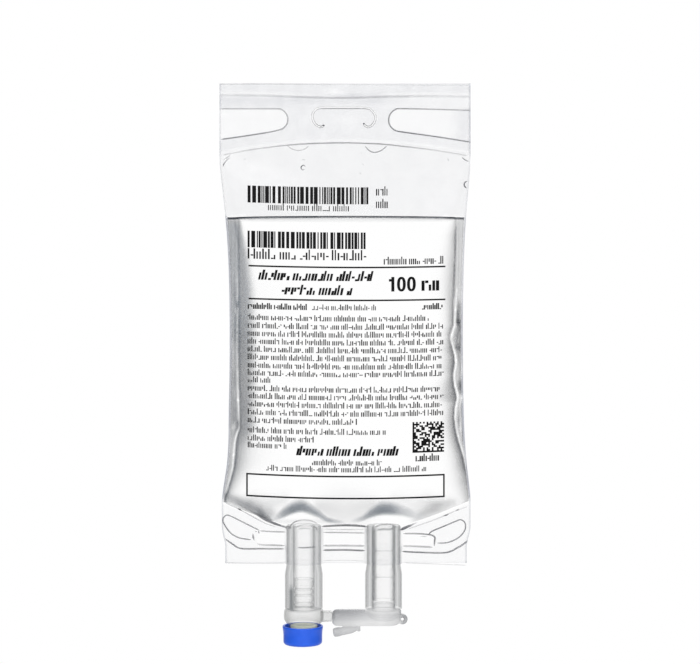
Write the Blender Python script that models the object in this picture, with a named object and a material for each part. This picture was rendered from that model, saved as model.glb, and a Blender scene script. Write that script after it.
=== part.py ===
"""A hanging 100 ml infusion bag with an injection port and a closed set port.

Metres, +Z up. The origin is the middle of the hanger slit's top line, X runs to the right
and the printed front faces -Y. The bag hangs straight down from the slit.
"""

import math

import bmesh
import bpy
import numpy as np

MM = 0.001

# Fits shared by every piece.
SEAT = 0.3 * MM  # gap between two pieces that touch on the real bag
FACETS = 28  # sides of a round piece

# The film tube, lying flat.
FLAT_WIDTH = 85.3 * MM
FILM = 0.3 * MM
SLIT_BELOW_EDGE = 8.3 * MM  # from the top edge to the slit's top line
HEAD_BAND = 20.1 * MM  # from the top edge to the top weld's lower edge
POUCH_HEIGHT = 130.8 * MM  # from one weld to the other, in the middle
FOOT_BAND = 12.1 * MM  # from the bottom weld's upper edge to the bottom edge
SKIRT_DRAW = 1.3 * MM  # how far each side draws in at the bottom edge

# The filled bag.
CROWN_DEPTH = 10.5 * MM  # half the thickness where the bag is fattest
FOOT_REACH = 0.10  # share of the height over which the foot swells out
HEAD_POWER = 7  # how late the head tapers into the top weld
GIRTH_SHARE = 1.23  # a fat tube is narrower: draw-in = share * depth^2 / half width
HEAD_SEAM_DROP = 4.2 * MM  # how much lower the head seam is at the sides
FOOT_SEAM_RISE = 8.4 * MM  # how much higher the foot seam is at the sides
FOOT_SEAM_FLAT = 19.0 * MM  # half the length of the foot seam that stays level
FOOT_SEAM_POWER = 1.25  # how softly it turns up from there
HEADSPACE = 25.3 * MM  # from the top weld down to the liquid
LIP_WIDTH = 3.4 * MM  # the flat edge that the tube's old fold leaves
LIP_DEPTH = 1.5 * MM
LIP_CORNER = 1.2 * MM  # the lip's width where it runs out into a weld
LIP_SHARE = 0.35  # near a weld the lip takes this share of the depth
SECTION_POWER = 2.2  # the cross-section between the creases, a rounded rectangle's side
SECTION_ROOT = 0.60
COLUMNS = 18
BODY_ROWS = 18
ROW_BUNCHING = 0.11  # how much closer together the rows are at the welds
SEAM_INSET = 0.4 * MM  # how far the space inside stops short of a weld or a fold
CREASE_INSET = 0.2 * MM

# The weld bands' relief: pockets where the two films were left unwelded.
POCKET_RISE = 0.25 * MM
POCKET_CHAMFER = 0.2 * MM
POCKET_TO_EDGE = 0.15 * MM
WINDOW_DROP = 0.3 * MM  # how far a window's top line lies under the slit's
WINDOW_END_RADIUS = 3.65 * MM
WINDOW_GAP_LEFT = 8.15 * MM  # between the slit and a window
WINDOW_GAP_RIGHT = 4.55 * MM
WINDOW_SIDE_DROP = 3.6 * MM  # how much taller a window is at the side than at its round end
SLIT_RADIUS = 3.25 * MM
SLIT_LEFT = -8.0 * MM
SLIT_RIGHT = 7.2 * MM
SLIT_WIDTH = 0.5 * MM
SLIT_CURL = 0.9 * MM
TEAR_TO_EDGE = 1.45 * MM
TEAR_LENGTH = 12.2 * MM
TEAR_LOBE = 2.7 * MM
TEAR_LOBE_RISE = 1.2 * MM  # the lobe's middle over the foot seam
TEAR_TIP_DROP = 2.0 * MM
TEAR_BELLY_DROP = 4.4 * MM
TEAR_BELLY_START = 1.4 * MM
TEAR_BELLY_LENGTH = 6.0 * MM
BAR_DROP = 1.6 * MM  # from the foot seam to the bar's top
BAR_HEIGHT = 4.4 * MM
BAR_SHORT = 0.4 * MM  # between the bar's round end and the teardrop's tip

# Both port tubes.
PORT_STANDS = 0.8 * MM  # how far a tube stands into the bag
PORT_BELOW = 15.5 * MM  # how far it stands out under the film
PORT_ROUND = 0.6 * MM
WELD_STEP = 0.5 * MM  # a tube is slimmer by this where the film is welded round it
SLEEVE_RISE = 9.2 * MM  # top of the film's dome over a tube, from the foot seam
SLEEVE_DOME = 6.1 * MM  # the dome's own height
SLEEVE_SHORT = 0.3 * MM  # the film round a tube ends this much over the bottom edge

# Injection port.
INJECTION_X = -14.0 * MM
INJECTION_RADIUS = 6.4 * MM
INJECTION_BORE = 3.7 * MM
INSERT_LENGTH = 10.3 * MM
INSERT_WALL = 1.2 * MM
RIB_COUNT = 4
RIB_PITCH = 2.5 * MM
RIB_DEPTH = 0.5 * MM
RIB_SLOPE = 0.5 * MM  # height of a rib's slope; the groove is twice that
COLLAR_PROUD = 0.2 * MM
COLLAR_HEIGHT = 4.7 * MM
COLLAR_ROUND = 1.6 * MM
COLLAR_CHAMFER = 0.4 * MM
NECK_RADIUS = 5.1 * MM
NECK_LENGTH = 5.5 * MM
NECK_WALL = 0.9 * MM
NECK_POCKET = 1.2 * MM  # how far the stopper's pocket reaches up into the collar
LUG_LENGTH = 3.0 * MM
LUG_WIDTH = 3.0 * MM
LUG_HEIGHT = 3.7 * MM
LUG_DROP = 0.5 * MM
LUG_TAPER = 0.3 * MM

# The blue cap.
CAP_GAP = 0.7 * MM  # the neck that shows between collar and cap
CAP_SLACK = 0.65 * MM  # between the neck and the cap's wall
CAP_RIM_PROUD = 0.5 * MM
CAP_RIM_HEIGHT = 1.5 * MM
CAP_WALL = 0.75 * MM
CAP_FLOOR = 1.0 * MM
CAP_GRIP = 1.3 * MM  # how far the floor reaches under the stopper's edge
CAP_ROUND = 0.8 * MM
CAP_EDGE = 0.3 * MM
NOSE_RECESS = 0.5 * MM

# Set port.
SET_X = 13.1 * MM
SET_RADIUS = 6.25 * MM
SET_WALL = 2.2 * MM
SET_INSERT_SINK = 1.4 * MM  # from the tube's top down to the sleeve
SET_INSERT_RECESS = 3.0 * MM  # from the sleeve's end to the tube's end
SET_INSERT_WALL = 0.75 * MM
SET_MEMBRANE_RISE = 10.7 * MM  # the membrane over the tube's end
SET_MEMBRANE = 0.5 * MM
SET_RING_DROP = 8.8 * MM  # the upper ring groove under the tube's top
SET_RING_HEIGHT = 1.2 * MM
SET_RING_DEPTH = 0.25 * MM
SET_RING_FLOOR = 0.6  # share of the groove's height that is its floor

# The break-off closure.
ARM_RADIUS = 2.75 * MM
ARM_PAST_TUBE = 5.5 * MM  # how far the arm runs past the set port's axis
ARM_ROUND = 1.1 * MM
HEAD_SET_IN = 0.25 * MM
HEAD_HEIGHT = 1.6 * MM
SPIGOT_CLEAR = 1.1 * MM
SPIGOT_CHAMFER = 0.4 * MM
EYE_RADIUS = 1.9 * MM
EYE_HOLE = 0.65 * MM
EYE_THICKNESS = 2.0 * MM
EYE_DROP = 0.6 * MM
EYE_REACH = 1.0 * MM  # from the arm's end to the eye's middle
PIN_RADIUS = 1.45 * MM
PIN_HEAD_RADIUS = 1.6 * MM
PIN_LENGTH = 8.0 * MM
PIN_HEAD_LENGTH = 3.4 * MM
PIN_TILT = math.radians(11.5)
PIN_CLEAR = 0.25 * MM  # between the arm and the pin's upper end
PIN_OFFSET = 8.2 * MM  # from the arm's left end to the pin's right end
PIN_EDGE = 0.4 * MM
STEM_RADIUS = 0.55 * MM
STEM_LENGTH = 1.3 * MM
STEM_RIGHT = 0.9 * MM  # from the pin's right end to the upright stem's axis

# Heights and radii that follow from those.
HALF_FLAT = FLAT_WIDTH / 2
TOP_EDGE = SLIT_BELOW_EDGE
HEAD_SEAM = TOP_EDGE - HEAD_BAND
FOOT_SEAM = HEAD_SEAM - POUCH_HEIGHT
BOTTOM_EDGE = FOOT_SEAM - FOOT_BAND
FILL_LINE = HEAD_SEAM - HEADSPACE
PORT_TOP = FOOT_SEAM + PORT_STANDS
PORT_END = BOTTOM_EDGE - PORT_BELOW
SLEEVE_TOP = FOOT_SEAM + SLEEVE_RISE
INSERT_SLEEVE = INJECTION_BORE - SEAT
INSERT_BORE = INSERT_SLEEVE - INSERT_WALL
COLLAR_RADIUS = INJECTION_RADIUS + COLLAR_PROUD
COLLAR_TOP = PORT_END - SEAT
COLLAR_BOTTOM = COLLAR_TOP - COLLAR_HEIGHT
NECK_END = COLLAR_BOTTOM - NECK_LENGTH
NECK_INNER = NECK_RADIUS - NECK_WALL
CAP_FLOOR_TOP = NECK_END - SEAT
CAP_BOTTOM = CAP_FLOOR_TOP - CAP_FLOOR
CAP_MOUTH = NECK_INNER - SEAT - CAP_GRIP
SET_BORE = SET_RADIUS - SET_WALL
SET_SLEEVE = SET_BORE - SEAT
SET_INSERT_BORE = SET_SLEEVE - SET_INSERT_WALL
SET_MEMBRANE_Z = PORT_END + SET_MEMBRANE_RISE
ARM_LEFT = INJECTION_X + COLLAR_RADIUS + LUG_LENGTH
ARM_RIGHT = SET_X + ARM_PAST_TUBE
ARM_Z = PORT_END - SEAT - ARM_RADIUS
PORTS = (
    ("injection", INJECTION_X, INJECTION_RADIUS - WELD_STEP),
    ("set", SET_X, SET_RADIUS - WELD_STEP),
)


def clear_scene():
    for old in list(bpy.data.objects):
        bpy.data.objects.remove(old, do_unlink=True)


def plastic(name, colour, roughness, transmission=0.0, alpha=1.0):
    """A Principled BSDF with the piece's own colour."""
    material = bpy.data.materials.new(name)
    material.use_nodes = True
    shader = material.node_tree.nodes["Principled BSDF"]
    shader.inputs["Base Color"].default_value = (*colour, 1.0)
    shader.inputs["Roughness"].default_value = roughness
    shader.inputs["Metallic"].default_value = 0.0
    shader.inputs["Transmission Weight"].default_value = transmission
    shader.inputs["Alpha"].default_value = alpha
    material.diffuse_color = (*colour, alpha)
    return material


def place(name, points, faces, material=None):
    """A mesh object made from points and faces, its normals turned outwards."""
    mesh = bpy.data.meshes.new(name)
    mesh.from_pydata([tuple(p) for p in points], [], [tuple(f) for f in faces])
    shape = bmesh.new()
    shape.from_mesh(mesh)
    bmesh.ops.recalc_face_normals(shape, faces=shape.faces)
    shape.to_mesh(mesh)
    shape.free()
    thing = bpy.data.objects.new(name, mesh)
    bpy.context.scene.collection.objects.link(thing)
    if material:
        mesh.materials.append(material)
    return thing


def turned(name, profile, centre=(0.0, 0.0), material=None, facets=FACETS):
    """Spins a profile of (radius, height) points about the upright axis through centre.

    A profile that begins and ends on the axis makes a solid; any other is closed on itself.
    """
    solid = profile[0][0] == 0 and profile[-1][0] == 0
    shape = bmesh.new()
    corners = [shape.verts.new((radius, 0.0, height)) for radius, height in profile]
    edges = [shape.edges.new(pair) for pair in zip(corners, corners[1:])]
    if not solid:
        edges.append(shape.edges.new((corners[-1], corners[0])))
    bmesh.ops.spin(
        shape,
        geom=corners + edges,
        cent=(0, 0, 0),
        axis=(0, 0, 1),
        angle=math.tau,
        steps=facets,
        use_merge=True,
    )
    bmesh.ops.remove_doubles(shape, verts=shape.verts, dist=1e-6)
    bmesh.ops.recalc_face_normals(shape, faces=shape.faces)
    mesh = bpy.data.meshes.new(name)
    shape.to_mesh(mesh)
    shape.free()
    mesh.shade_smooth()
    mesh.set_sharp_from_angle(angle=math.radians(35))
    thing = bpy.data.objects.new(name, mesh)
    thing.location = (centre[0], centre[1], 0.0)
    bpy.context.scene.collection.objects.link(thing)
    if material:
        mesh.materials.append(material)
    return thing


def arc(centre_r, centre_z, radius, start, stop, steps=4):
    """Points of a round from the start angle to the stop angle, in degrees."""
    angles = np.radians(np.linspace(start, stop, steps + 1))
    return [(centre_r + radius * math.cos(a), centre_z + radius * math.sin(a)) for a in angles]


def mirrored(outline):
    """The outline turned over left to right."""
    return [(-x, z) for x, z in outline]


def slab(name, outline, half_thickness, chamfer=0.0):
    """An outline of (x, z) points given a thickness along Y, with an optional chamfer."""
    outline = np.array(outline)
    count = len(outline)
    middle = outline.mean(axis=0)
    reach = np.linalg.norm(outline - middle, axis=1, keepdims=True)
    inner = middle + (outline - middle) * (1 - chamfer / reach)
    layers = [(inner, -half_thickness), (outline, chamfer - half_thickness)]
    layers += [(outline, half_thickness - chamfer), (inner, half_thickness)]
    if not chamfer:
        layers = [(outline, -half_thickness), (outline, half_thickness)]
    points = [(x, y, z) for ring, y in layers for x, z in ring]
    faces = [tuple(range(count)), tuple(range(len(points) - count, len(points)))[::-1]]
    for layer in range(len(layers) - 1):
        base = layer * count
        for i in range(count):
            j = (i + 1) % count
            faces.append((base + i, base + j, base + count + j, base + count + i))
    return place(name, points, faces)


def combine(target, tool, operation):
    """Joins or cuts with a hidden tool, which stays in the file as a guide."""
    tool.hide_render = True
    tool.display_type = "WIRE"
    step = target.modifiers.new(f"{operation.lower()} {tool.name}", "BOOLEAN")
    step.operation = operation
    step.solver = "EXACT"
    step.object = tool


def head_seam(x):
    """The top weld's lower edge, a flat parabola."""
    return HEAD_SEAM - HEAD_SEAM_DROP * (x / HALF_FLAT) ** 2


def foot_seam(x):
    """The bottom weld's upper edge: level over the ports, then rising to both corners."""
    beyond = np.clip((np.abs(x) - FOOT_SEAM_FLAT) / (HALF_FLAT - FOOT_SEAM_FLAT), 0, 1)
    return FOOT_SEAM + FOOT_SEAM_RISE * beyond**FOOT_SEAM_POWER


def crown(share):
    """Half the bag's depth in its middle, at a share of the way from foot seam to head seam."""
    return CROWN_DEPTH * (1 - np.exp(-share / FOOT_REACH)) * (1 - share**HEAD_POWER)


def half_width(share):
    """Half the bag's width: the tube keeps its girth, so it is narrow where it is deep."""
    return HALF_FLAT - GIRTH_SHARE * crown(share) ** 2 / HALF_FLAT


def body_shares():
    """Rows of the pillow: close together at both welds, where it curves most."""
    even = np.linspace(0, 1, BODY_ROWS + 1)
    return [float(share) for share in even - ROW_BUNCHING * np.sin(math.tau * even)]


def pillow(share, edge_inset, crease_inset, depth_change, seam_inset):
    """One row of the pillow: arrays of x, height and half depth, from left to right.

    The row has the flat lip at each side, then the crowned middle between the two creases.
    """
    depth = max(float(crown(share)) + depth_change, 0.0)
    lip = min(LIP_DEPTH + depth_change, LIP_SHARE * depth)
    width = LIP_CORNER + (LIP_WIDTH - LIP_CORNER) * float(crown(share)) / CROWN_DEPTH
    edge = float(half_width(share)) - edge_inset
    crease = float(half_width(share)) - width - crease_inset
    across = np.sin(np.linspace(-math.pi / 2, math.pi / 2, COLUMNS + 1))
    middle = lip + (depth - lip) * (1 - np.abs(across) ** SECTION_POWER) ** SECTION_ROOT
    x = np.concatenate(([-edge], across * crease, [edge]))
    half_depth = np.concatenate(([0.0], middle, [0.0]))
    low = foot_seam(x) + seam_inset
    high = head_seam(x) - seam_inset
    return x, low + share * (high - low), half_depth


def film_outside():
    """The outside of the whole film: both weld bands as a flat plate, the pillow between them."""
    rows = []
    x, seam, _ = pillow(0.0, 0, 0, 0, 0)
    for share in (0.0, 0.5):
        draw = 1 - SKIRT_DRAW * (1 - share) / HALF_FLAT
        rows.append((x * draw, BOTTOM_EDGE + share * (seam - BOTTOM_EDGE), np.full_like(x, FILM)))
    for share in body_shares():
        x, z, half_depth = pillow(share, 0, 0, 0, 0)
        rows.append((x, z, half_depth + FILM))
    rows.append((x, np.full_like(x, TOP_EDGE), np.full_like(x, FILM)))
    count = len(x)
    points = []
    for x, z, half_depth in rows:
        points += list(zip(x, -half_depth, z))
        points += list(zip(x[::-1], half_depth[::-1], z[::-1]))
    ring = 2 * count
    faces = []
    for row in range(len(rows) - 1):
        for i in range(ring):
            j = (i + 1) % ring
            base = row * ring
            faces.append((base + i, base + j, base + ring + j, base + ring + i))
    for base in (0, (len(rows) - 1) * ring):
        for i in range(count - 1):
            faces.append((base + i, base + i + 1, base + ring - 2 - i, base + ring - 1 - i))
    return points, faces


def lens(rows, flat_top):
    """Front and back sheets that meet at the sides and the foot, and at the head or in a flat top."""
    count = len(rows[0][0])
    points = []
    index = {}

    def corner(row, i, side):
        pointed = row == 0 or (row == len(rows) - 1 and not flat_top)
        if pointed:
            i = min(max(i, 1), count - 2)
        key = (row, i, 0 if pointed or i in (0, count - 1) else side)
        if key not in index:
            index[key] = len(points)
            x, z, half_depth = rows[row]
            points.append((x[i], key[2] * half_depth[i], z[i]))
        return index[key]

    faces = []
    for side in (-1, 1):
        for row in range(len(rows) - 1):
            for i in range(count - 1):
                square = [(row, i), (row, i + 1), (row + 1, i + 1), (row + 1, i)]
                loop = list(dict.fromkeys(corner(r, c, side) for r, c in square))
                if len(loop) > 2:
                    faces.append(tuple(loop))
    if flat_top:
        last = len(rows) - 1
        for i in range(count - 1):
            loop = [corner(last, i, -1), corner(last, i + 1, -1)]
            loop += [corner(last, i + 1, 1), corner(last, i, 1)]
            faces.append(tuple(dict.fromkeys(loop)))
    return points, faces


def cavity():
    """The space inside the film, a film's thickness inside its outer surface."""
    rows = [pillow(share, SEAM_INSET, CREASE_INSET, 0.0, SEAM_INSET) for share in body_shares()]
    return lens(rows, flat_top=False)


def solution():
    """The liquid's own shape in the pillow, level at the fill line."""
    inset = max(SEAM_INSET + 2 * SEAT, PORT_STANDS + SEAT)
    edge = inset + 2 * SEAT
    crease = CREASE_INSET + 2 * SEAT
    rows = []
    for share in body_shares():
        x, z, half_depth = pillow(share, edge, crease, -SEAT, inset)
        if z.max() > FILL_LINE:
            break
        rows.append((x, z, half_depth))
    level = float(np.interp(FILL_LINE, [foot_seam(0.0), head_seam(0.0)], [0, 1]))
    x, z, half_depth = pillow(level, edge, crease, -SEAT, inset)
    rows.append((x, np.full_like(x, FILL_LINE), half_depth))
    return lens(rows, flat_top=True)


def window(name, end, side):
    """A pocket in the top weld: round at its inner end, taller where it runs out at the side."""
    middle_x = end + side * WINDOW_END_RADIUS
    middle_z = -WINDOW_DROP - WINDOW_END_RADIUS
    edge = side * (HALF_FLAT - POCKET_TO_EDGE)
    round_end = arc(0, 0, WINDOW_END_RADIUS, 90, 270, 10)
    outline = [(edge, -WINDOW_DROP)]
    outline += [(middle_x + side * x, middle_z + z) for x, z in round_end]
    outline.append((edge, -WINDOW_DROP - 2 * WINDOW_END_RADIUS - WINDOW_SIDE_DROP))
    return slab(name, outline, FILM + POCKET_RISE, POCKET_CHAMFER)


def teardrop(name, side):
    """A pocket in the bottom weld: a round lobe at the side that narrows towards the bar."""
    lobe_x = HALF_FLAT - TEAR_TO_EDGE - TEAR_LOBE
    tip = HALF_FLAT - TEAR_TO_EDGE - TEAR_LENGTH
    belly = FOOT_SEAM - TEAR_BELLY_DROP
    outline = arc(lobe_x, FOOT_SEAM + TEAR_LOBE_RISE, TEAR_LOBE, -35, 115, 8)
    outline += [(tip, FOOT_SEAM - TEAR_TIP_DROP)]
    outline += [(tip + TEAR_BELLY_START, belly), (tip + TEAR_BELLY_LENGTH, belly)]
    if side < 0:
        outline = mirrored(outline)
    return slab(name, outline, FILM + POCKET_RISE, POCKET_CHAMFER)


def weld_bar():
    """The straight channel between the two teardrops, crossing both tubes."""
    radius = BAR_HEIGHT / 2
    middle = FOOT_SEAM - BAR_DROP - radius
    half = HALF_FLAT - TEAR_TO_EDGE - TEAR_LENGTH
    right = arc(half - BAR_SHORT, middle, radius, -90, 90, 6)
    return slab("guide_weld_bar", right + mirrored(right)[::-1], FILM + POCKET_RISE, POCKET_CHAMFER)


def hanger_slit():
    """The C-shaped cut: a straight top line, a half round at each end, and an inward curl."""
    path = []
    for middle, sign in ((SLIT_LEFT, -1), (SLIT_RIGHT, 1)):
        half = arc(0, -SLIT_RADIUS, SLIT_RADIUS, 90, -90, 10)
        curl = arc(0, SLIT_CURL - 2 * SLIT_RADIUS, SLIT_CURL, -125, -160, 1)
        path.append([(middle + sign * x, z) for x, z in half + curl])
    line = np.array(path[0][::-1] + path[1])
    along = np.gradient(line, axis=0)
    along /= np.linalg.norm(along, axis=1, keepdims=True)
    across = np.column_stack((-along[:, 1], along[:, 0])) * SLIT_WIDTH / 2
    outline = np.concatenate((line + across, (line - across)[::-1]))
    return slab("guide_hanger_slit", outline, 4 * FILM)


def dome(radius, top):
    """The round head of a port's channel, from its foot up to a point on the axis."""
    foot = SLEEVE_TOP - SLEEVE_DOME
    angles = np.radians(np.linspace(0, 90, 6))[:-1]
    curve = [(radius * math.cos(a), foot + (top - foot) * math.sin(a)) for a in angles]
    return [*curve, (0.0, top)]


def channel(name, centre_x, radius, low, top):
    """The film's round channel for a port: a tube with a domed head inside the bag."""
    return turned(name, [(0.0, low), (radius, low), *dome(radius, top)], (centre_x, 0.0))


def make_bag_film(material):
    film = place("bag_film", *film_outside(), material)
    for name, centre_x, weld in PORTS:
        low = BOTTOM_EDGE + SLEEVE_SHORT
        outside = channel(f"guide_{name}_sleeve", centre_x, weld + SEAT + FILM, low, SLEEVE_TOP)
        combine(film, outside, "UNION")
    for side, word in ((-1, "left"), (1, "right")):
        combine(film, teardrop(f"guide_{word}_teardrop", side), "UNION")
    combine(film, weld_bar(), "UNION")
    left = SLIT_LEFT - SLIT_RADIUS - WINDOW_GAP_LEFT
    combine(film, window("guide_left_window", left, -1), "UNION")
    right = SLIT_RIGHT + SLIT_RADIUS + WINDOW_GAP_RIGHT
    combine(film, window("guide_right_window", right, 1), "UNION")
    space = place("guide_space", *cavity())
    below = BOTTOM_EDGE - PORT_BELOW / 2
    for name, centre_x, weld in PORTS:
        bore = channel(f"guide_{name}_bore", centre_x, weld + SEAT, below, SLEEVE_TOP - FILM)
        combine(space, bore, "UNION")
    combine(film, hanger_slit(), "DIFFERENCE")
    combine(film, space, "DIFFERENCE")


def make_saline(material):
    """The liquid, with a leg that fills each port down to its stopper or membrane."""
    fill = place("saline_fill", *solution(), material)
    ends = (
        (INJECTION_BORE - SEAT, PORT_END + INSERT_LENGTH + SEAT),
        (SET_INSERT_BORE - SEAT, SET_MEMBRANE_Z + SET_MEMBRANE / 2 + SEAT),
    )
    low = PORT_TOP + SEAT
    for (name, centre_x, weld), (narrow, end) in zip(PORTS, ends):
        profile = [(0.0, end), (narrow, end), (narrow, low), (weld - SEAT, low)]
        profile += dome(weld - SEAT, SLEEVE_TOP - FILM - SEAT)
        combine(fill, turned(f"guide_{name}_leg", profile, (centre_x, 0.0)), "UNION")


def make_port_tube(name, centre_x, radius, bore, material):
    """A clear tube, a little slimmer where the film is welded round it."""
    step = BOTTOM_EDGE - 2 * SEAT
    r = PORT_ROUND
    weld = radius - WELD_STEP
    profile = arc(bore + r, PORT_TOP - r, r, 180, 90, 3)
    profile += arc(weld - r, PORT_TOP - r, r, 90, 0, 3)
    profile += [(weld, step), (radius, step - WELD_STEP), (radius, PORT_END), (bore, PORT_END)]
    turned(name, profile, (centre_x, 0.0), material)


def make_injection_insert(material):
    """The ribbed sleeve in the tube, the collar under it, the neck and the side lug."""
    ribs = [(INSERT_BORE, PORT_END + INSERT_LENGTH), (INSERT_SLEEVE, PORT_END + INSERT_LENGTH)]
    first = PORT_END + (RIB_COUNT - 0.5) * RIB_PITCH
    groove = INSERT_SLEEVE - RIB_DEPTH
    for rib in range(RIB_COUNT):
        top = first - rib * RIB_PITCH
        ribs += [(INSERT_SLEEVE, top), (groove, top - RIB_SLOPE)]
        ribs += [(groove, top - 3 * RIB_SLOPE), (INSERT_SLEEVE, top - 4 * RIB_SLOPE)]
    r = COLLAR_ROUND
    profile = ribs + [(INSERT_SLEEVE, COLLAR_TOP), (COLLAR_RADIUS - COLLAR_CHAMFER, COLLAR_TOP)]
    profile += [(COLLAR_RADIUS, COLLAR_TOP - 2 * COLLAR_CHAMFER)]
    profile += arc(COLLAR_RADIUS - r, COLLAR_BOTTOM + r, r, 0, -80, 4)
    profile += [(NECK_RADIUS, COLLAR_BOTTOM), (NECK_RADIUS, NECK_END), (NECK_INNER, NECK_END)]
    profile += [(NECK_INNER, COLLAR_BOTTOM + NECK_POCKET), (INSERT_BORE, COLLAR_BOTTOM + NECK_POCKET)]
    insert = turned("injection_port_insert", profile, (INJECTION_X, 0.0), material)
    root = INJECTION_X + COLLAR_RADIUS - COLLAR_ROUND / 2
    tip = ARM_LEFT - SEAT
    lug_top = COLLAR_TOP - LUG_DROP
    outline = [(root, lug_top - LUG_HEIGHT), (tip, lug_top - LUG_HEIGHT + LUG_TAPER), (tip, lug_top)]
    outline.append((root, lug_top))
    combine(insert, slab("guide_lug", outline, LUG_WIDTH / 2), "UNION")


def make_septum(material):
    """The stopper: a plug in the neck's pocket, with a nose in the cap's mouth."""
    radius = NECK_INNER - SEAT
    top = COLLAR_BOTTOM + NECK_POCKET - SEAT
    floor = CAP_FLOOR_TOP + SEAT
    nose = CAP_MOUTH - SEAT
    profile = [(0.0, top), (radius - SEAT, top), (radius, top - SEAT), (radius, floor), (nose, floor)]
    profile += [(nose, CAP_BOTTOM + NOSE_RECESS), (0.0, CAP_BOTTOM + NOSE_RECESS)]
    turned("injection_septum", profile, (INJECTION_X, 0.0), material)


def make_cap(material):
    """The blue cap: an open-topped cup with a stepped rim and a hole in its floor."""
    inner = NECK_RADIUS + CAP_SLACK
    outer = inner + CAP_WALL
    rim = outer + CAP_RIM_PROUD
    top = COLLAR_BOTTOM - CAP_GAP
    rim_low = top - CAP_RIM_HEIGHT
    r = CAP_ROUND
    profile = [(CAP_MOUTH, CAP_FLOOR_TOP), (inner, CAP_FLOOR_TOP), (inner, rim_low)]
    profile += [(inner + CAP_RIM_PROUD, top - CAP_EDGE), (inner + CAP_RIM_PROUD, top)]
    profile += [(rim - CAP_EDGE, top), (rim, top - CAP_EDGE)]
    profile += [(rim, rim_low), (outer, rim_low - CAP_RIM_PROUD)]
    profile += arc(outer - r, CAP_BOTTOM + r, r, 0, -90, 4)
    profile += [(CAP_MOUTH, CAP_BOTTOM)]
    turned("injection_cap", profile, (INJECTION_X, 0.0), material)


def make_set_insert(material):
    """The sleeve that the spike is pushed into, closed half way by a thin membrane."""
    groove = SET_SLEEVE - SET_RING_DEPTH
    top = PORT_TOP - SET_INSERT_SINK
    end = PORT_END + SET_INSERT_RECESS
    half = SET_RING_HEIGHT / 2
    floor = SET_RING_FLOOR * half
    upper = SET_MEMBRANE_Z + SET_MEMBRANE / 2
    under = SET_MEMBRANE_Z - SET_MEMBRANE / 2
    profile = [(0.0, upper), (SET_INSERT_BORE, upper), (SET_INSERT_BORE, top)]
    profile += [(groove, top), (SET_SLEEVE, top - SET_RING_DEPTH)]
    for middle in (PORT_TOP - SET_RING_DROP, SET_MEMBRANE_Z):
        profile += [(SET_SLEEVE, middle + half), (groove, middle + floor)]
        profile += [(groove, middle - floor), (SET_SLEEVE, middle - half)]
    profile += [(SET_SLEEVE, end), (SET_INSERT_BORE, end)]
    profile += [(SET_INSERT_BORE, under), (0.0, under)]
    turned("set_port_insert", profile, (SET_X, 0.0), material)


def lying(thing, middle, tilt=0.0):
    """Lays a turned shape along X, its own top to the right and raised by tilt."""
    thing.rotation_euler = (0.0, math.pi / 2 - tilt, 0.0)
    thing.location = middle


def make_closure(material):
    """Head and spigot under the tube, a round arm across them, an eye and a hanging pin."""
    head_top = PORT_END - SEAT
    spigot_top = PORT_END + SET_INSERT_RECESS - SPIGOT_CLEAR
    head = SET_RADIUS - HEAD_SET_IN
    profile = [(0.0, ARM_Z), (head - ARM_ROUND, ARM_Z), (head, head_top - HEAD_HEIGHT), (head, head_top)]
    profile += [(SET_SLEEVE, head_top), (SET_SLEEVE, spigot_top - SPIGOT_CHAMFER)]
    profile += [(SET_SLEEVE - SPIGOT_CHAMFER, spigot_top), (0.0, spigot_top)]
    closure = turned("twist_off_closure", profile, (SET_X, 0.0), material)

    half = (ARM_RIGHT - ARM_LEFT) / 2
    r = ARM_ROUND
    bar = [(0.0, -half), *arc(ARM_RADIUS - r, r - half, r, -90, 0, 4)]
    bar += [*arc(ARM_RADIUS - r, half - r, r, 0, 90, 4), (0.0, half)]
    arm = turned("guide_arm", bar)
    lying(arm, ((ARM_LEFT + ARM_RIGHT) / 2, 0.0, ARM_Z))
    combine(closure, arm, "UNION")

    eye_x = ARM_RIGHT + EYE_REACH
    ring = arc(eye_x, ARM_Z - EYE_DROP, EYE_RADIUS, 0, 342, 19)
    combine(closure, slab("guide_eye", ring, EYE_THICKNESS / 2, EYE_HOLE / 2), "UNION")
    hole = arc(eye_x + EYE_HOLE / 2, ARM_Z - EYE_DROP, EYE_HOLE, 0, 330, 11)
    combine(closure, slab("guide_eye_hole", hole, EYE_THICKNESS), "DIFFERENCE")

    pin = [(0.0, 0.0), (PIN_HEAD_RADIUS - PIN_EDGE, 0.0), (PIN_HEAD_RADIUS, PIN_EDGE)]
    pin += [(PIN_HEAD_RADIUS, PIN_HEAD_LENGTH - PIN_EDGE), (PIN_RADIUS, PIN_HEAD_LENGTH)]
    pin += [(PIN_RADIUS, PIN_LENGTH - PIN_EDGE), (STEM_RADIUS, PIN_LENGTH)]
    pin += [(STEM_RADIUS, PIN_LENGTH + STEM_LENGTH), (0.0, PIN_LENGTH + STEM_LENGTH)]
    hanging = turned("guide_pin", pin, facets=16)
    pin_end = ARM_LEFT + PIN_OFFSET
    drop = ARM_RADIUS + PIN_RADIUS + PIN_CLEAR
    left_x = pin_end - PIN_LENGTH * math.cos(PIN_TILT)
    left_z = ARM_Z - drop - PIN_LENGTH * math.sin(PIN_TILT)
    lying(hanging, (left_x, 0.0, left_z), PIN_TILT)
    combine(closure, hanging, "UNION")
    rod = [(0.0, 0.0), (STEM_RADIUS, 0.0), (STEM_RADIUS, drop), (0.0, drop)]
    stem = turned("guide_stem", rod, facets=12)
    stem.location = (pin_end + STEM_RIGHT, 0.0, ARM_Z - drop - STEM_RADIUS / 2)
    combine(closure, stem, "UNION")


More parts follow.
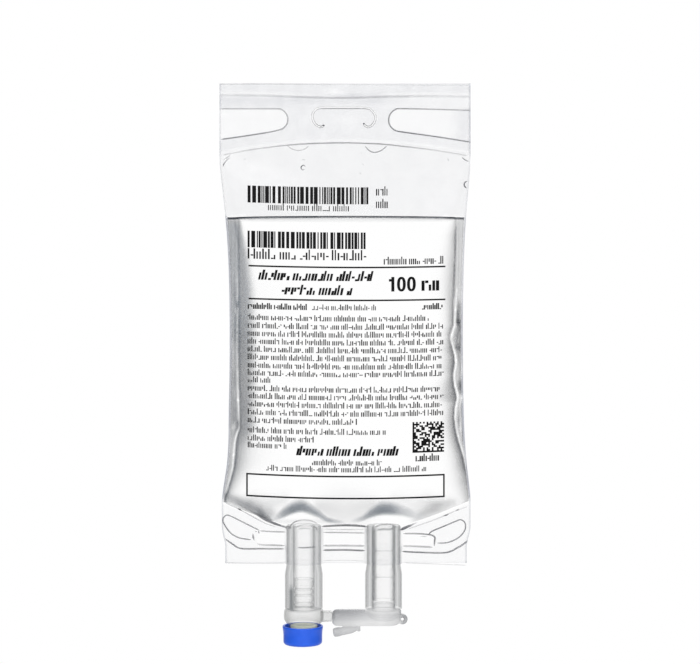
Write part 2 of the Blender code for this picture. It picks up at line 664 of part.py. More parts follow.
clear_scene()
CLEAR = (0.92, 0.93, 0.94)
make_bag_film(plastic("blown polyolefin film", CLEAR, 0.12, 0.9, 0.35))
make_saline(plastic("saline", (0.95, 0.97, 0.98), 0.0, 1.0, 0.4))
tube_plastic = plastic("clear port tube", (0.85, 0.86, 0.87), 0.2, 0.8, 0.5)
make_port_tube("injection_port_tube", INJECTION_X, INJECTION_RADIUS, INJECTION_BORE, tube_plastic)
make_port_tube("set_port_tube", SET_X, SET_RADIUS, SET_BORE, plastic("clear set tube", CLEAR, 0.2, 0.8, 0.5))
make_injection_insert(plastic("natural polypropylene", (0.8, 0.81, 0.82), 0.3, 0.6, 0.6))
make_septum(plastic("stopper rubber", (0.52, 0.5, 0.28), 0.6))
make_cap(plastic("blue cap plastic", (0.028, 0.116, 0.745), 0.35))
make_set_insert(plastic("set insert polypropylene", (0.8, 0.82, 0.84), 0.3, 0.6, 0.6))
make_closure(plastic("closure polypropylene", (0.72, 0.73, 0.74), 0.35, 0.4, 0.8))
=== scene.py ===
# %% [markdown]
# # A 100 ml bag of intravenous fluid
#
# The object is a clear bag of blown plastic film, welded flat at the head and the foot, filled with
# salt water, with two port tubes below. Almost everything in it is see-through, so the eye reads it
# from thin grey weld lines, from the dark bands that the liquid makes at its sides, and from the print.
# This file dresses the measured model of the bag: it is loaded first, and every piece made here rides
# on one of its two moving bodies, the bag itself or the closure that is pulled off the set port.

# %% Load the measured model
import math

import bpy
import numpy as np
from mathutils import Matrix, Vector


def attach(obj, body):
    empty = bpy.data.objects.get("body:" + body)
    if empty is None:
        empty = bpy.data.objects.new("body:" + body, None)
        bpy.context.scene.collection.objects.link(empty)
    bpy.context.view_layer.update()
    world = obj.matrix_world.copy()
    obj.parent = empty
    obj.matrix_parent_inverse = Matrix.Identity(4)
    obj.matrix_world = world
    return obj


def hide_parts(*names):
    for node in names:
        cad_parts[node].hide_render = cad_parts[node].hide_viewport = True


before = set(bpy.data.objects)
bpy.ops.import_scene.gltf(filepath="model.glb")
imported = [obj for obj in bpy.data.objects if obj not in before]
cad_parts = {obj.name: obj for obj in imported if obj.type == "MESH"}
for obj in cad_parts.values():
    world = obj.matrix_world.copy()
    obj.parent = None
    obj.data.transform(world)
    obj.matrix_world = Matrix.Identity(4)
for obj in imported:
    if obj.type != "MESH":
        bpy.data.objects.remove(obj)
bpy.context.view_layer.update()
MM = 0.001

# %% [markdown]
# ## Camera
#
# The picture was taken straight on with a long lens. Its scale at the plane of the welds is 0.34 mm a
# pixel, and the rims of the ports are seen a little from above, which puts the camera about 570 mm
# away, level with the middle of the picture. A place measured in the picture is turned into
# millimetres at the plane of the welds by one function, so that the drawing below can follow it.

# %% Camera
PICTURE = (700, 664)
PIXEL = 0.34
ZERO = (345.0, 108.0)
CAMERA_AWAY = 570.0
SENSOR = 36.0


def from_picture(points):
    """Places in the picture, pixels across and down, as x and z in mm: scaled about the hanger slit."""
    points = np.asarray(points, float)
    return np.stack((points[..., 0] - ZERO[0], ZERO[1] - points[..., 1]), axis=-1) * PIXEL


AIM = from_picture((PICTURE[0] / 2, PICTURE[1] / 2))
lens = bpy.data.cameras.new("long_lens")
lens.sensor_width = SENSOR
lens.lens = SENSOR * CAMERA_AWAY / (PICTURE[0] * PIXEL)
lens.clip_start = 0.01
camera = bpy.data.objects.new("camera", lens)
camera.location = (AIM[0] * MM, -CAMERA_AWAY * MM, AIM[1] * MM)
camera.rotation_euler = (math.pi / 2, 0, 0)
bpy.context.scene.collection.objects.link(camera)
bpy.context.scene.camera = camera
print("lens", round(lens.lens, 1), "mm, aimed at", AIM.round(1))

# %% [markdown]
# ## One way to add a node, and colours as hex values
#
# A material is a small network of nodes. One function adds any node, sets its properties and fills or
# links its sockets, so that each network reads as a list. Colours are written as the hex values that a
# screen shows and are turned into the linear values that the renderer works with.


# %% Nodes and colours
def linear(level):
    """A screen value from 0 to 1 as light: the sRGB curve undone."""
    level = np.asarray(level, float)
    return np.where(level <= 0.04045, level / 12.92, ((level + 0.055) / 1.055) ** 2.4)


def colour(code):
    """A hex colour such as 9fb0c0 as four linear numbers."""
    parts = [int(code[i : i + 2], 16) / 255 for i in (0, 2, 4)]
    return (*(float(v) for v in linear(parts)), 1.0)


def add(tree, kind, inputs=None, **settings):
    """Adds the node ShaderNode + kind; an entry in inputs is a value, or another node's output to link."""
    node = tree.nodes.new("ShaderNode" + kind)
    for name, value in settings.items():
        setattr(node, name, value)
    for name, value in (inputs or {}).items():
        if isinstance(value, bpy.types.NodeSocket):
            tree.links.new(value, node.inputs[name])
        else:
            node.inputs[name].default_value = value
    return node


def new_tree(name):
    """A material with an empty network, and its output node."""
    material = bpy.data.materials.new(name)
    material.use_nodes = True
    material.node_tree.nodes.clear()
    return material, material.node_tree, add(material.node_tree, "OutputMaterial")


# %% [markdown]
# ## Studio
#
# Clear plastic shows what is behind it, so the room is white where the camera looks at it, and a softer
# grey where it only lights the object: brighter from above and in front, which gives the small mouldings
# their shape. Glossy things are photographed between two dark flags, one at each side, and so is this:
# a reflection that looks sideways finds grey, which keeps the edges of the ports and the cap dark. Four
# soft lamps add the rest. The bag hangs, so the floor is well below it and takes only a faint shadow.

# %% World
ROOM_LEVEL, ROOM_FROM_ABOVE, ROOM_FROM_FRONT = 0.28, 0.20, 0.20
FLAG_START, FLAG_FULL, FLAG_GREY = 0.35, 0.8, 0.2
CLEAR_WALLS_IN_LINE = 64

scene = bpy.context.scene
scene.view_settings.view_transform = "Standard"
scene.cycles.transparent_max_bounces = CLEAR_WALLS_IN_LINE
world = bpy.data.worlds.new("white_room")
scene.world = world
world.use_nodes = True
world.node_tree.nodes.clear()
room = world.node_tree


def seen_directly(tree):
    """A socket that is 1 for the camera's, glossy and transmission rays, and 0 for rays that light."""
    path = add(tree, "LightPath")
    eye_or_gloss = {0: path.outputs["Is Camera Ray"], 1: path.outputs["Is Glossy Ray"]}
    either = add(tree, "Math", eye_or_gloss, operation="MAXIMUM")
    every = {0: either.outputs[0], 1: path.outputs["Is Transmission Ray"]}
    return add(tree, "Math", every, operation="MAXIMUM").outputs[0]


way = add(room, "TexCoord").outputs["Generated"]
towards_light = {0: way, 1: (0, -ROOM_FROM_FRONT, ROOM_FROM_ABOVE)}
lean = add(room, "VectorMath", towards_light, operation="DOT_PRODUCT").outputs["Value"]
strength = add(room, "Math", {0: lean, 1: ROOM_LEVEL}, operation="ADD", use_clamp=True)
lit = add(room, "Background", {"Color": colour("fbfcff"), "Strength": strength.outputs[0]})
sideways = add(room, "SeparateXYZ", {"Vector": way}).outputs["X"]
aside = add(room, "Math", {0: sideways}, operation="ABSOLUTE").outputs[0]
flags = {"From Min": FLAG_START, "From Max": FLAG_FULL, "To Min": 1.0, "To Max": FLAG_GREY}
in_gloss = add(room, "MapRange", {"Value": aside, **flags}, interpolation_type="SMOOTHSTEP")
by_camera = add(room, "LightPath").outputs["Is Camera Ray"]
level = add(room, "Math", {0: in_gloss.outputs[0], 1: by_camera}, operation="MAXIMUM")
white = add(room, "Background", {"Color": (1, 1, 1, 1), "Strength": level.outputs[0]})
mixed = add(room, "MixShader", {0: seen_directly(room), 1: lit.outputs[0], 2: white.outputs[0]})
add(room, "OutputWorld", {"Surface": mixed.outputs[0]})
print("room with", len(room.nodes), "nodes")


# %% Lamps
def softbox(name, place, size, watts):
    """A square lamp turned towards the middle of the bag; gives the light it adds on the front."""
    data = bpy.data.lights.new(name, "AREA")
    data.size = size
    data.energy = watts
    lamp = bpy.data.objects.new(name, data)
    lamp.location = place
    aim = Vector((0, 0, AIM[1] * MM)) - Vector(place)
    lamp.rotation_euler = aim.to_track_quat("-Z", "Y").to_euler()
    scene.collection.objects.link(lamp)
    return watts * max(aim.y, 0) / aim.length**3 / math.pi**2


on_face = ROOM_LEVEL + ROOM_FROM_FRONT * 2 / 3
on_face += softbox("key_softbox", (-0.55, -1.15, 0.75), 0.6, 9.0)
on_face += softbox("fill_softbox", (0.8, -1.0, 0.2), 0.6, 4.0)
on_face += softbox("front_softbox", (0.15, -1.5, 0.3), 0.7, 3.5)
on_face += softbox("back_softbox", (0.3, 1.1, 0.6), 0.8, 6.0)
print("light on a face turned to the front, 1 shows a colour as written:", round(on_face, 2))

# %% Floor
FLOOR_Z, FLOOR_RADIUS, FLOOR_SIDES = -0.40, 0.9, 96
SHADOW_INSIDE, SHADOW_OUTSIDE, SHADOW_PAINT = 0.35, 0.85, 0.45
floor_turn = np.linspace(0, 2 * math.pi, FLOOR_SIDES + 1)[:-1]
floor_mesh = bpy.data.meshes.new("floor")
rim = [(FLOOR_RADIUS * math.cos(a), FLOOR_RADIUS * math.sin(a), FLOOR_Z) for a in floor_turn]
floor_mesh.from_pydata(rim, [], [tuple(range(len(rim)))])
floor = bpy.data.objects.new("floor", floor_mesh)
scene.collection.objects.link(floor)
material, tree, out = new_tree("painted_studio_floor")
spot = add(tree, "TexCoord").outputs["Object"]
far = add(tree, "VectorMath", {0: spot, 1: (0, 0, -FLOOR_Z)}, operation="ADD")
length = add(tree, "VectorMath", {0: far.outputs[0]}, operation="LENGTH").outputs["Value"]
reach = {"From Min": SHADOW_INSIDE, "From Max": SHADOW_OUTSIDE, "To Min": SHADOW_PAINT, "To Max": 1.0}
fade = add(tree, "MapRange", {"Value": length, **reach}, interpolation_type="SMOOTHSTEP")
share = add(tree, "Math", {0: fade.outputs[0], 1: seen_directly(tree)}, operation="MULTIPLY")
paint = add(tree, "BsdfDiffuse", {"Color": colour("f4f4f5")})
glow = add(tree, "Emission", {"Color": (1, 1, 1, 1), "Strength": 1.0})
both = add(tree, "MixShader", {0: share.outputs[0], 1: paint.outputs[0], 2: glow.outputs[0]})
tree.links.new(both.outputs[0], out.inputs["Surface"])
floor_mesh.materials.append(material)
print("floor", -FLOOR_Z, "m down")

# %% [markdown]
# ## Turning arrays into meshes
#
# Every shape here is an array of points worked out by a formula. A surface is a grid of rows and
# columns; a turned part is a profile carried round an axis; a weld line is a small oval carried along
# a path. The helpers below join neighbouring grid points into faces, close ends and poles, and turn
# the whole outwards by the sign of its volume.


# %% Faces and which way they point
def grid_faces(rows, columns, wrap_rows=False, wrap_columns=False):
    """Quads between neighbours of a grid numbered row by row; wrap joins the last to the first."""
    r = np.arange(rows if wrap_rows else rows - 1)[:, None]
    c = np.arange(columns if wrap_columns else columns - 1)[None, :]
    r2, c2 = (r + 1) % rows, (c + 1) % columns
    corners = (r * columns + c, r * columns + c2, r2 * columns + c2, r2 * columns + c)
    return np.stack([np.broadcast_to(k, (r.size, c.size)).ravel() for k in corners], axis=1)


def end_fans(ring, last, first_tip, last_tip):
    """Triangles that close both ends of a tube: a fan from each tip to the first and the last ring."""
    now = np.arange(ring)
    after = (now + 1) % ring
    return [
        np.stack((np.full(ring, first_tip), after, now), axis=1),
        np.stack((np.full(ring, last_tip), last + now, last + after), axis=1),
    ]


def volume(points, faces):
    """Six times the volume inside the faces: the sum of each face's triple products."""
    total = 0.0
    for group in faces:
        a = points[group[:, 0]]
        for i in range(1, group.shape[1] - 1):
            turned_by = np.cross(points[group[:, i]], points[group[:, i + 1]])
            total += np.einsum("ij,ij->i", a, turned_by).sum()
    return total


def outward(points, faces, inside_out=False):
    """The faces of one closed part, all turned to point outwards, or inwards for a cavity's wall."""
    if (volume(points, faces) < 0) != inside_out:
        return [group[:, ::-1] for group in faces]
    return faces


# %% Parts into pieces
SHARP = 40


def joined(parts):
    """Several (points, faces, marks) parts as one, with the point numbers of each moved along."""
    points, faces, marks, start = [], [], {}, 0
    for part_points, part_faces, part_marks in parts:
        points.append(part_points)
        faces += [group + start for group in part_faces]
        for name, values in part_marks.items():
            marks.setdefault(name, []).append(np.broadcast_to(values, len(part_points)))
        start += len(part_points)
    return np.concatenate(points), faces, {name: np.concatenate(v) for name, v in marks.items()}


def piece(name, part, material, body="bag", replaces=()):
    """Puts a part's arrays into a mesh object at the origin, and fastens it to its body."""
    points, faces, marks = part
    mesh = bpy.data.meshes.new(name)
    corners = np.concatenate([group.ravel() for group in faces]).astype(np.int32)
    sizes = np.concatenate([np.full(len(group), group.shape[1]) for group in faces])
    mesh.vertices.add(len(points))
    mesh.vertices.foreach_set("co", (points * MM).astype(np.float32).ravel())
    mesh.loops.add(len(corners))
    mesh.loops.foreach_set("vertex_index", corners)
    mesh.polygons.add(len(sizes))
    mesh.polygons.foreach_set("loop_start", (np.cumsum(sizes) - sizes).astype(np.int32))
    for mark, values in marks.items():
        attribute = mesh.attributes.new(mark, "FLOAT", "POINT")
        attribute.data.foreach_set("value", values.astype(np.float32))
    mesh.update(calc_edges=True)
    if mesh.validate():
        print("  mended", name)
    mesh.shade_smooth()
    mesh.set_sharp_from_angle(angle=math.radians(SHARP))
    mesh.materials.append(material)
    thing = bpy.data.objects.new(name, mesh)
    scene.collection.objects.link(thing)
    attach(thing, body)
    if replaces:
        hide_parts(*replaces)
    print(f"{name}: {len(points)} points, {int((sizes - 2).sum())} triangles")

# %% Turned parts
def turned(profile, centre_x=0.0, steps=96, **marks):
    """A profile of (radius, height) carried round an upright axis: x = r cos a, y = r sin a.

    A point on the axis becomes one pole with a fan of triangles; a profile with none is closed on
    itself. Each mark is a formula of radius, height and angle.
    """
    profile = np.asarray(profile, float)
    solid = profile[0, 0] == 0
    rim = profile[1:-1] if solid else profile
    angle = np.arange(steps) / steps * 2 * math.pi
    x = rim[:, :1] * np.cos(angle) + centre_x
    y = rim[:, :1] * np.sin(angle)
    z = np.broadcast_to(rim[:, 1:], x.shape)
    points = np.stack((x, y, z), axis=-1).reshape(-1, 3)
    faces = [grid_faces(len(rim), steps, wrap_rows=not solid, wrap_columns=True)]
    if solid:
        poles = np.array([(centre_x, 0, profile[0, 1]), (centre_x, 0, profile[-1, 1])])
        faces += end_fans(steps, (len(rim) - 1) * steps, len(points), len(points) + 1)
        points = np.concatenate((points, poles))
    offset = points[:, :2] - (centre_x, 0)
    r, a = np.linalg.norm(offset, axis=1), np.arctan2(offset[:, 1], offset[:, 0])
    painted = {name: formula(r, points[:, 2], a) + 0 * r for name, formula in marks.items()}
    return points, outward(points, faces), painted


def rounded(profile, radius=0.25, steps=3):
    """A profile with each corner replaced by a short curve: a point is blended between its neighbours."""
    profile = np.asarray(profile, float)
    result = [profile[0]]
    for before, corner, after in zip(profile[:-2], profile[1:-1], profile[2:]):
        start, stop = (
            corner + (end - corner) * min(radius / (np.linalg.norm(end - corner) + 1e-9), 0.45)
            for end in (before, after)
        )
        t = np.linspace(0, 1, steps + 1)[:, None]
        result.extend((1 - t) ** 2 * start + 2 * t * (1 - t) * corner + t**2 * stop)
    result.append(profile[-1])
    return np.array(result)


def ring_profile(corners, radius=0.4):
    """A closed profile with every corner rounded, for a part with a bore: the corners go once round."""
    corners = [corners[-1], *corners, corners[0]]
    return rounded(corners, radius)[1:-1]


# %% Beads along a path
def smooth_path(points, spacing=0.35):
    """A path through the points without corners, its points about one spacing apart (Catmull-Rom)."""
    points = np.asarray(points, float)
    ends = np.concatenate(([2 * points[0] - points[1]], points, [2 * points[-1] - points[-2]]))
    result = []
    for a, b, c, d in zip(ends[:-3], ends[1:-2], ends[2:-1], ends[3:]):
        count = max(int(np.linalg.norm(c - b) / spacing), 1)
        t = (np.arange(count) / count)[:, None]
        square, cube = 2 * a - 5 * b + 4 * c - d, 3 * b - a - 3 * c + d
        result.append(0.5 * (2 * b + (c - a) * t + square * t**2 + cube * t**3))
    return np.concatenate((*result, points[-1:]))


def across_path(path_xz):
    """The direction square to a path at each of its points, on its left."""
    along = np.gradient(path_xz, axis=0)
    along /= np.linalg.norm(along, axis=1, keepdims=True) + 1e-9
    return np.stack((-along[:, 1], along[:, 0]), axis=1)


def bead(path_xz, half_width, low_y, high_y, veil, around=8):
    """A small oval carried along a path in the plane of the weld, pointed at both ends.

    Across the path it reaches half_width, and along Y from low_y to high_y, which may differ by point.
    """
    path_xz = np.asarray(path_xz, float)
    count = len(path_xz)
    across = across_path(path_xz)
    taper = np.minimum(1, np.minimum(np.arange(count), np.arange(count)[::-1]) / 3.0 + 0.15)
    angle = np.arange(around) / around * 2 * math.pi
    wide = (np.broadcast_to(half_width, count) * taper)[:, None] * np.cos(angle)
    low_y, high_y = np.broadcast_to(low_y, count), np.broadcast_to(high_y, count)
    middle = (low_y + high_y)[:, None] / 2
    deep = ((high_y - low_y) / 2 * taper)[:, None] * np.sin(angle)
    x = path_xz[:, :1] + across[:, :1] * wide
    z = path_xz[:, 1:] + across[:, 1:] * wide
    points = np.stack((x, middle + deep, z), axis=-1).reshape(-1, 3)
    tips = np.stack((path_xz[[0, -1], 0], middle[[0, -1], 0], path_xz[[0, -1], 1]), axis=1)
    faces = [grid_faces(count, around, wrap_columns=True)]
    faces += end_fans(around, (count - 1) * around, len(points), len(points) + 1)
    veil = np.repeat(np.broadcast_to(veil, count), around)
    points = np.concatenate((points, tips))
    return points, outward(points, faces), {"veil": np.concatenate((veil, veil[[0, -1]]))}


print("mesh helpers ready, edges sharper than", SHARP, "degrees stay crisp")

# %% [markdown]
# ## The pouch as a formula
#
# A blown film tube that is welded flat at both ends and filled takes the shape of a pillow. The film
# can't stretch, so where the pillow is deep it is narrow, and its sides keep a flat lip outside a soft
# crease. The half depth at a place is worked out in three steps: how far up the pouch it is, how deep
# the middle is at that height, and how far across it lies between the two creases.

# %% Sizes of the film, in millimetres
HALF_FLAT, FILM = 42.65, 0.3
TOP_EDGE, BOTTOM_EDGE = 8.3, -154.7
HEAD_SEAM, HEAD_SEAM_DROP = -11.8, 4.2
FOOT_SEAM, FOOT_SEAM_RISE, FOOT_SEAM_FLAT, FOOT_SEAM_POWER = -142.6, 8.4, 19.0, 1.25
CROWN_DEPTH, FOOT_REACH, HEAD_POWER = 10.5, 0.10, 7
GIRTH_LEFT, GIRTH_RIGHT = 1.38, 1.03
LIP_WIDTH, LIP_CORNER, LIP_DEPTH, LIP_SHARE = 3.4, 1.2, 1.5, 0.35
SECTION_POWER, SECTION_ROOT = 2.2, 0.6
SKIRT_DRAW_LEFT, SKIRT_DRAW_RIGHT, LEFT_FOOT_DRAW = 1.2, 1.3, 0.8
FILL_LINE = -37.2
INJECTION_X, INJECTION_RADIUS, INJECTION_BORE = -14.0, 6.4, 3.7
SET_X, SET_RADIUS, SET_BORE = 13.1, 6.25, 4.05
SLEEVE_TOP, SLEEVE_DOME, WELD_STEP, SEAT = -133.4, 6.1, 0.5, 0.3
PORT_TOP, PORT_END = -141.8, -170.2
PORTS = ((INJECTION_X, INJECTION_RADIUS), (SET_X, SET_RADIUS))


# %% Seams and the pillow between them
def step(value):
    """A smooth step from 0 to 1."""
    t = np.clip(value, 0, 1)
    return t * t * (3 - 2 * t)


def head_seam(x):
    """Height of the top weld's lower edge: a flat arch, lower at the sides."""
    return HEAD_SEAM - HEAD_SEAM_DROP * (x / HALF_FLAT) ** 2


def foot_seam(x):
    """Height of the bottom weld's upper edge: level over the ports, rising to both corners."""
    beyond = np.clip((np.abs(x) - FOOT_SEAM_FLAT) / (HALF_FLAT - FOOT_SEAM_FLAT), 0, 1)
    return FOOT_SEAM + FOOT_SEAM_RISE * beyond**FOOT_SEAM_POWER


def crown(share):
    """Half the depth in the middle: a quick rise from the foot seam, level, then a round shoulder."""
    return CROWN_DEPTH * (1 - np.exp(-share / FOOT_REACH)) * (1 - share**HEAD_POWER)


def half_width(share, x):
    """Half the width: the girth stays the same, so it loses what the depth takes up.

    It loses more on the left side, which is also drawn in at its foot.
    """
    drawn_in = np.where(x > 0, 0, LEFT_FOOT_DRAW) * step((0.3 - share) / 0.2)
    return HALF_FLAT - np.where(x > 0, GIRTH_RIGHT, GIRTH_LEFT) * crown(share) ** 2 / HALF_FLAT - drawn_in


def crease(share, x, inset=0.0):
    """How far from the middle the crease lies: inside the edge by the lip's width."""
    lip = LIP_CORNER + (LIP_WIDTH - LIP_CORNER) * crown(share) / CROWN_DEPTH
    return half_width(share, x) - lip - inset


def share_of(x, z):
    """How far up the pouch a place is, from 0 at the foot seam to 1 at the head seam."""
    return np.clip((z - foot_seam(x)) / (head_seam(x) - foot_seam(x)), 0, 1)


def pillow(share, x, edge_inset=0.0, crease_inset=0.0, change=0.0):
    """Half depth of the pillow: a flattened dome between the creases, then a straight slope to the edge."""
    depth = np.maximum(crown(share) + change, 0)
    lip = np.minimum(LIP_DEPTH + change, LIP_SHARE * depth)
    fold, edge = crease(share, x, crease_inset), half_width(share, x) - edge_inset
    across = np.clip(np.abs(x) / fold, 0, 1)
    dome = lip + (depth - lip) * (1 - across**SECTION_POWER) ** SECTION_ROOT
    return dome * (1 - np.clip((np.abs(x) - fold) / (edge - fold), 0, 1))


def column_x(share, s, edge_inset=0.0, crease_inset=0.0, lip_start=0.92):
    """x of a column: within the crease it runs as a sine, which crowds columns there, then straight on.

    Columns with |s| beyond lip_start lie in the lip.
    """
    fold = crease(share, s, crease_inset)
    inside = np.sin(np.clip(s / lip_start, -1, 1) * math.pi / 2) * fold
    beyond = np.clip((np.abs(s) - lip_start) / (1 - lip_start), 0, 1)
    return inside + np.sign(s) * beyond * (half_width(share, s) - edge_inset - fold)


print("pouch half depth in the middle:", round(float(pillow(0.5, 0.0)), 2), "mm")

# %% [markdown]
# ## Pockets and channels in the welds
#
# The weld bars leave parts of the film unwelded. They stay a little raised and clearer: a pocket at
# each side of the hanger slit, two teardrops and a bar in the foot, and a round channel over each
# port tube. Each one is a signed distance, positive inside, so that one smooth step gives its height.

# %% Pockets and channels
POCKET_RISE, POCKET_SOFT = 0.25, 0.55
WINDOW_TOP, WINDOW_END, WINDOW_LEFT, WINDOW_RIGHT = -0.3, 3.65, -19.45, 15.0
WINDOW_FALL, WINDOW_SLOPE, WINDOW_LENGTH = 0.155, 0.988, 30
TEAR_CIRCLES = ((3.1, 37.6, -142.1), (2.9, 34.0, -143.6), (1.0, 29.6, -144.2))
BAR_LEFT, BAR_RIGHT, BAR_Z, BAR_HALF = -27.9, 28.6, -146.4, 2.2


def window_inside(x, z, side):
    """Distance inside a head pocket: a half round at its inner end, then a wedge that opens to the side."""
    middle = (WINDOW_LEFT if side < 0 else WINDOW_RIGHT) + side * WINDOW_END
    out = side * (x - middle)
    low = WINDOW_TOP - 2 * WINDOW_END - np.clip(out, 0, WINDOW_LENGTH) * WINDOW_FALL
    wedge = np.minimum(WINDOW_TOP - z, (z - low) * WINDOW_SLOPE)
    round_end = WINDOW_END - np.hypot(x - middle, z - WINDOW_TOP + WINDOW_END)
    return np.where(out < 0, round_end, wedge)


def teardrop_inside(x, z, side):
    """Distance inside a foot pocket: the deepest of three circles of falling size along a line."""
    return np.maximum.reduce([r - np.hypot(side * x - cx, z - cz) for r, cx, cz in TEAR_CIRCLES])


def bar_inside(x, z):
    """Distance inside the straight foot pocket: a long bar with round ends."""
    return BAR_HALF - np.hypot(x - np.clip(x, BAR_LEFT, BAR_RIGHT), z - BAR_Z)


def sleeve(x, z, centre, radius):
    """Half depth of a port's channel: a half round over the tube with a domed head inside the pouch."""
    rise = np.clip((z - SLEEVE_TOP + SLEEVE_DOME) / SLEEVE_DOME, 0, 1)
    wide = radius * np.sqrt(np.clip(1 - rise**2, 0, 1))
    return np.sqrt(np.clip(wide**2 - (x - centre) ** 2, 0, None)) * (z < SLEEVE_TOP)


def soft_max(a, b, blend):
    """The larger of two heights with the corner between them rounded over about one blend."""
    h = np.clip(0.5 + 0.5 * (a - b) / blend, 0, 1)
    return b + (a - b) * h + blend * h * (1 - h)


def film_half(x, z):
    """Half the film's whole depth at a place: plate, pillow, pockets and channels together."""
    pockets = [pocket(x, z, side) for pocket in (window_inside, teardrop_inside) for side in (-1, 1)]
    raised = sum(step(inside / POCKET_SOFT + 0.5) for inside in (*pockets, bar_inside(x, z)))
    total = FILM + POCKET_RISE * raised + pillow(share_of(x, z), x)
    for centre, radius in PORTS:
        total = soft_max(total, sleeve(x, z, centre, radius - WELD_STEP + SEAT + FILM), 0.5)
    return total


print("film over the set port:", round(float(film_half(np.float64(SET_X), np.float64(-150.0))), 2), "mm")

# %% [markdown]
# ## Clear plastic and how grey it looks
#
# Thin clear film is best made as a surface that is mostly transparent, with a little grey plastic left
# over: refraction would cost time and show nothing, as the film is too thin to bend light. How much is
# left over is painted on each point as a number called veil. The function below gives the veil that
# makes white seen through both walls look like a given grey.

# %% Veil and the clear materials
FILM_TONE, LIQUID_TONE, LINE_TONE = 0.72, 0.26, 0.42
WALLS = 2
PLASTIC_IOR, WATER_IOR = 1.5, 1.33
EDGE_BLEND, EDGE_START, EDGE_FULL = 0.35, 0.62, 0.98
RIPPLE_MM, RIPPLE_DEEP = 1.5, 0.02


def veil_for(grey, tone):
    """Opacity of one wall so that white behind both looks like grey, as a screen value from 0 to 255."""
    left = 1 - (1 - linear(np.asarray(grey, float) / 255)) / (1 - linear(tone))
    return 1 - np.clip(left, 0.0, 1) ** (1 / WALLS)


def clear_plastic(name, code, roughness, ior, edge_on=0.0, mottle=0.15, mottle_mm=6.0, cool=None):
    """A see-through plastic: opacity from the veil mark, slightly uneven, over a softly waved surface.

    A skin seen edge on is a long way through, so edge_on adds to the opacity there. Where the cool mark
    is 1 the colour is the second one.
    """
    material, tree, out = new_tree(name)
    spot = add(tree, "TexCoord").outputs["Object"]
    veil = add(tree, "Attribute", attribute_name="veil").outputs["Fac"]
    cloud_size = {"Scale": 1 / (mottle_mm * MM), "Detail": 2.0}
    cloud = add(tree, "TexNoise", {"Vector": spot, **cloud_size}).outputs["Fac"]
    about_one = {"From Min": 0.3, "From Max": 0.7, "To Min": 1 - mottle, "To Max": 1 + mottle}
    uneven = add(tree, "MapRange", {"Value": cloud, **about_one}).outputs[0]
    opacity = add(tree, "Math", {0: veil, 1: uneven}, operation="MULTIPLY", use_clamp=True).outputs[0]
    if edge_on:
        facing = add(tree, "LayerWeight", {"Blend": EDGE_BLEND}).outputs["Facing"]
        reach = {"From Min": EDGE_START, "From Max": EDGE_FULL, "To Min": 0.0, "To Max": edge_on}
        rim = add(tree, "MapRange", {"Value": facing, **reach}, interpolation_type="SMOOTHSTEP").outputs[0]
        opacity = add(tree, "Math", {0: opacity, 1: rim}, operation="ADD", use_clamp=True).outputs[0]
    ripple_size = {"Scale": 1 / (RIPPLE_MM * MM), "Detail": 3.0}
    ripple = add(tree, "TexNoise", {"Vector": spot, **ripple_size}).outputs["Fac"]
    relief = add(tree, "Bump", {"Height": ripple, "Strength": 0.4, "Distance": RIPPLE_DEEP * MM})
    look = {"Base Color": colour(code), "Roughness": roughness, "IOR": ior, "Alpha": opacity}
    shader = add(tree, "BsdfPrincipled", {**look, "Normal": relief.outputs[0]})
    if cool:
        tinge = add(tree, "Attribute", attribute_name="cool").outputs["Fac"]
        tint = add(tree, "Mix", {"Factor": tinge, "A": colour(code), "B": colour(cool)}, data_type="RGBA")
        tree.links.new(tint.outputs[2], shader.inputs["Base Color"])
    tree.links.new(shader.outputs[0], out.inputs["Surface"])
    return material


# Blown film shines and is clear, and its edges look milky because the light goes a long way through.
film_material = clear_plastic("blown_polyolefin_film", "b2b4bb", 0.12, PLASTIC_IOR, edge_on=0.10)
# Salt water is clearer than the film. What it bends at its sides looks dark, and a little blue: that
# is painted shade, carried by the veil and cool marks.
liquid_look = {"edge_on": 0.12, "mottle": 0.06, "mottle_mm": 12.0, "cool": "203c50"}
liquid_material = clear_plastic("saline_solution", "3f4248", 0.05, WATER_IOR, **liquid_look)
# Flash is film that melted and set again: thin grey threads with a softer shine. The same threads
# draw the painted shade along the cut edges of the hanger slit.
line_material = clear_plastic("weld_flash_and_slit_edge_shade", "6a6b70", 0.2, PLASTIC_IOR)
print("veil of film that looks 240 grey:", round(float(veil_for(240, FILM_TONE)), 3))

# %% [markdown]
# ## The film
#
# The film is one closed skin of front and back sheets on the same grid, joined all round, with a second
# skin inside that walls the pouch. Rows are close together in the welds, where the pockets are small,
# and wide apart in the pouch. Its veil is a little greyer in the welds than in the pockets.

# %% Film veil
FOLD_LINE = [(219, 95.2), (262, 95.6), (300, 97.0), (344, 97.9), (390, 96.6), (430, 96.2), (471, 96.8)]
LEFT_EDGE_SHADES = ((222, 300, 420, 430, 500), (56, 60, 60, 44, 50))
RIGHT_EDGE_SHADES = (
    (222, 300, 325, 350, 360, 372, 384, 391, 398, 406, 414, 436, 444, 460, 482, 497),
    (30, 32, 58, 60, 34, 22, 80, 70, 18, 70, 150, 150, 40, 30, 55, 50),
)
HEAD_GREY_ABOVE, HEAD_GREY_BELOW, POCKET_GREY, FOOT_GREY = 234.5, 236.5, 247.5, 249.0
EMPTY_GREY, WET_GREY = 243.5, 254.8
FLANK_TOP = -141.5


def ridge(distance, width):
    """A soft line: 1 on it, falling like a bell to 0.37 at one width from it."""
    return np.exp(-((distance / width) ** 2))


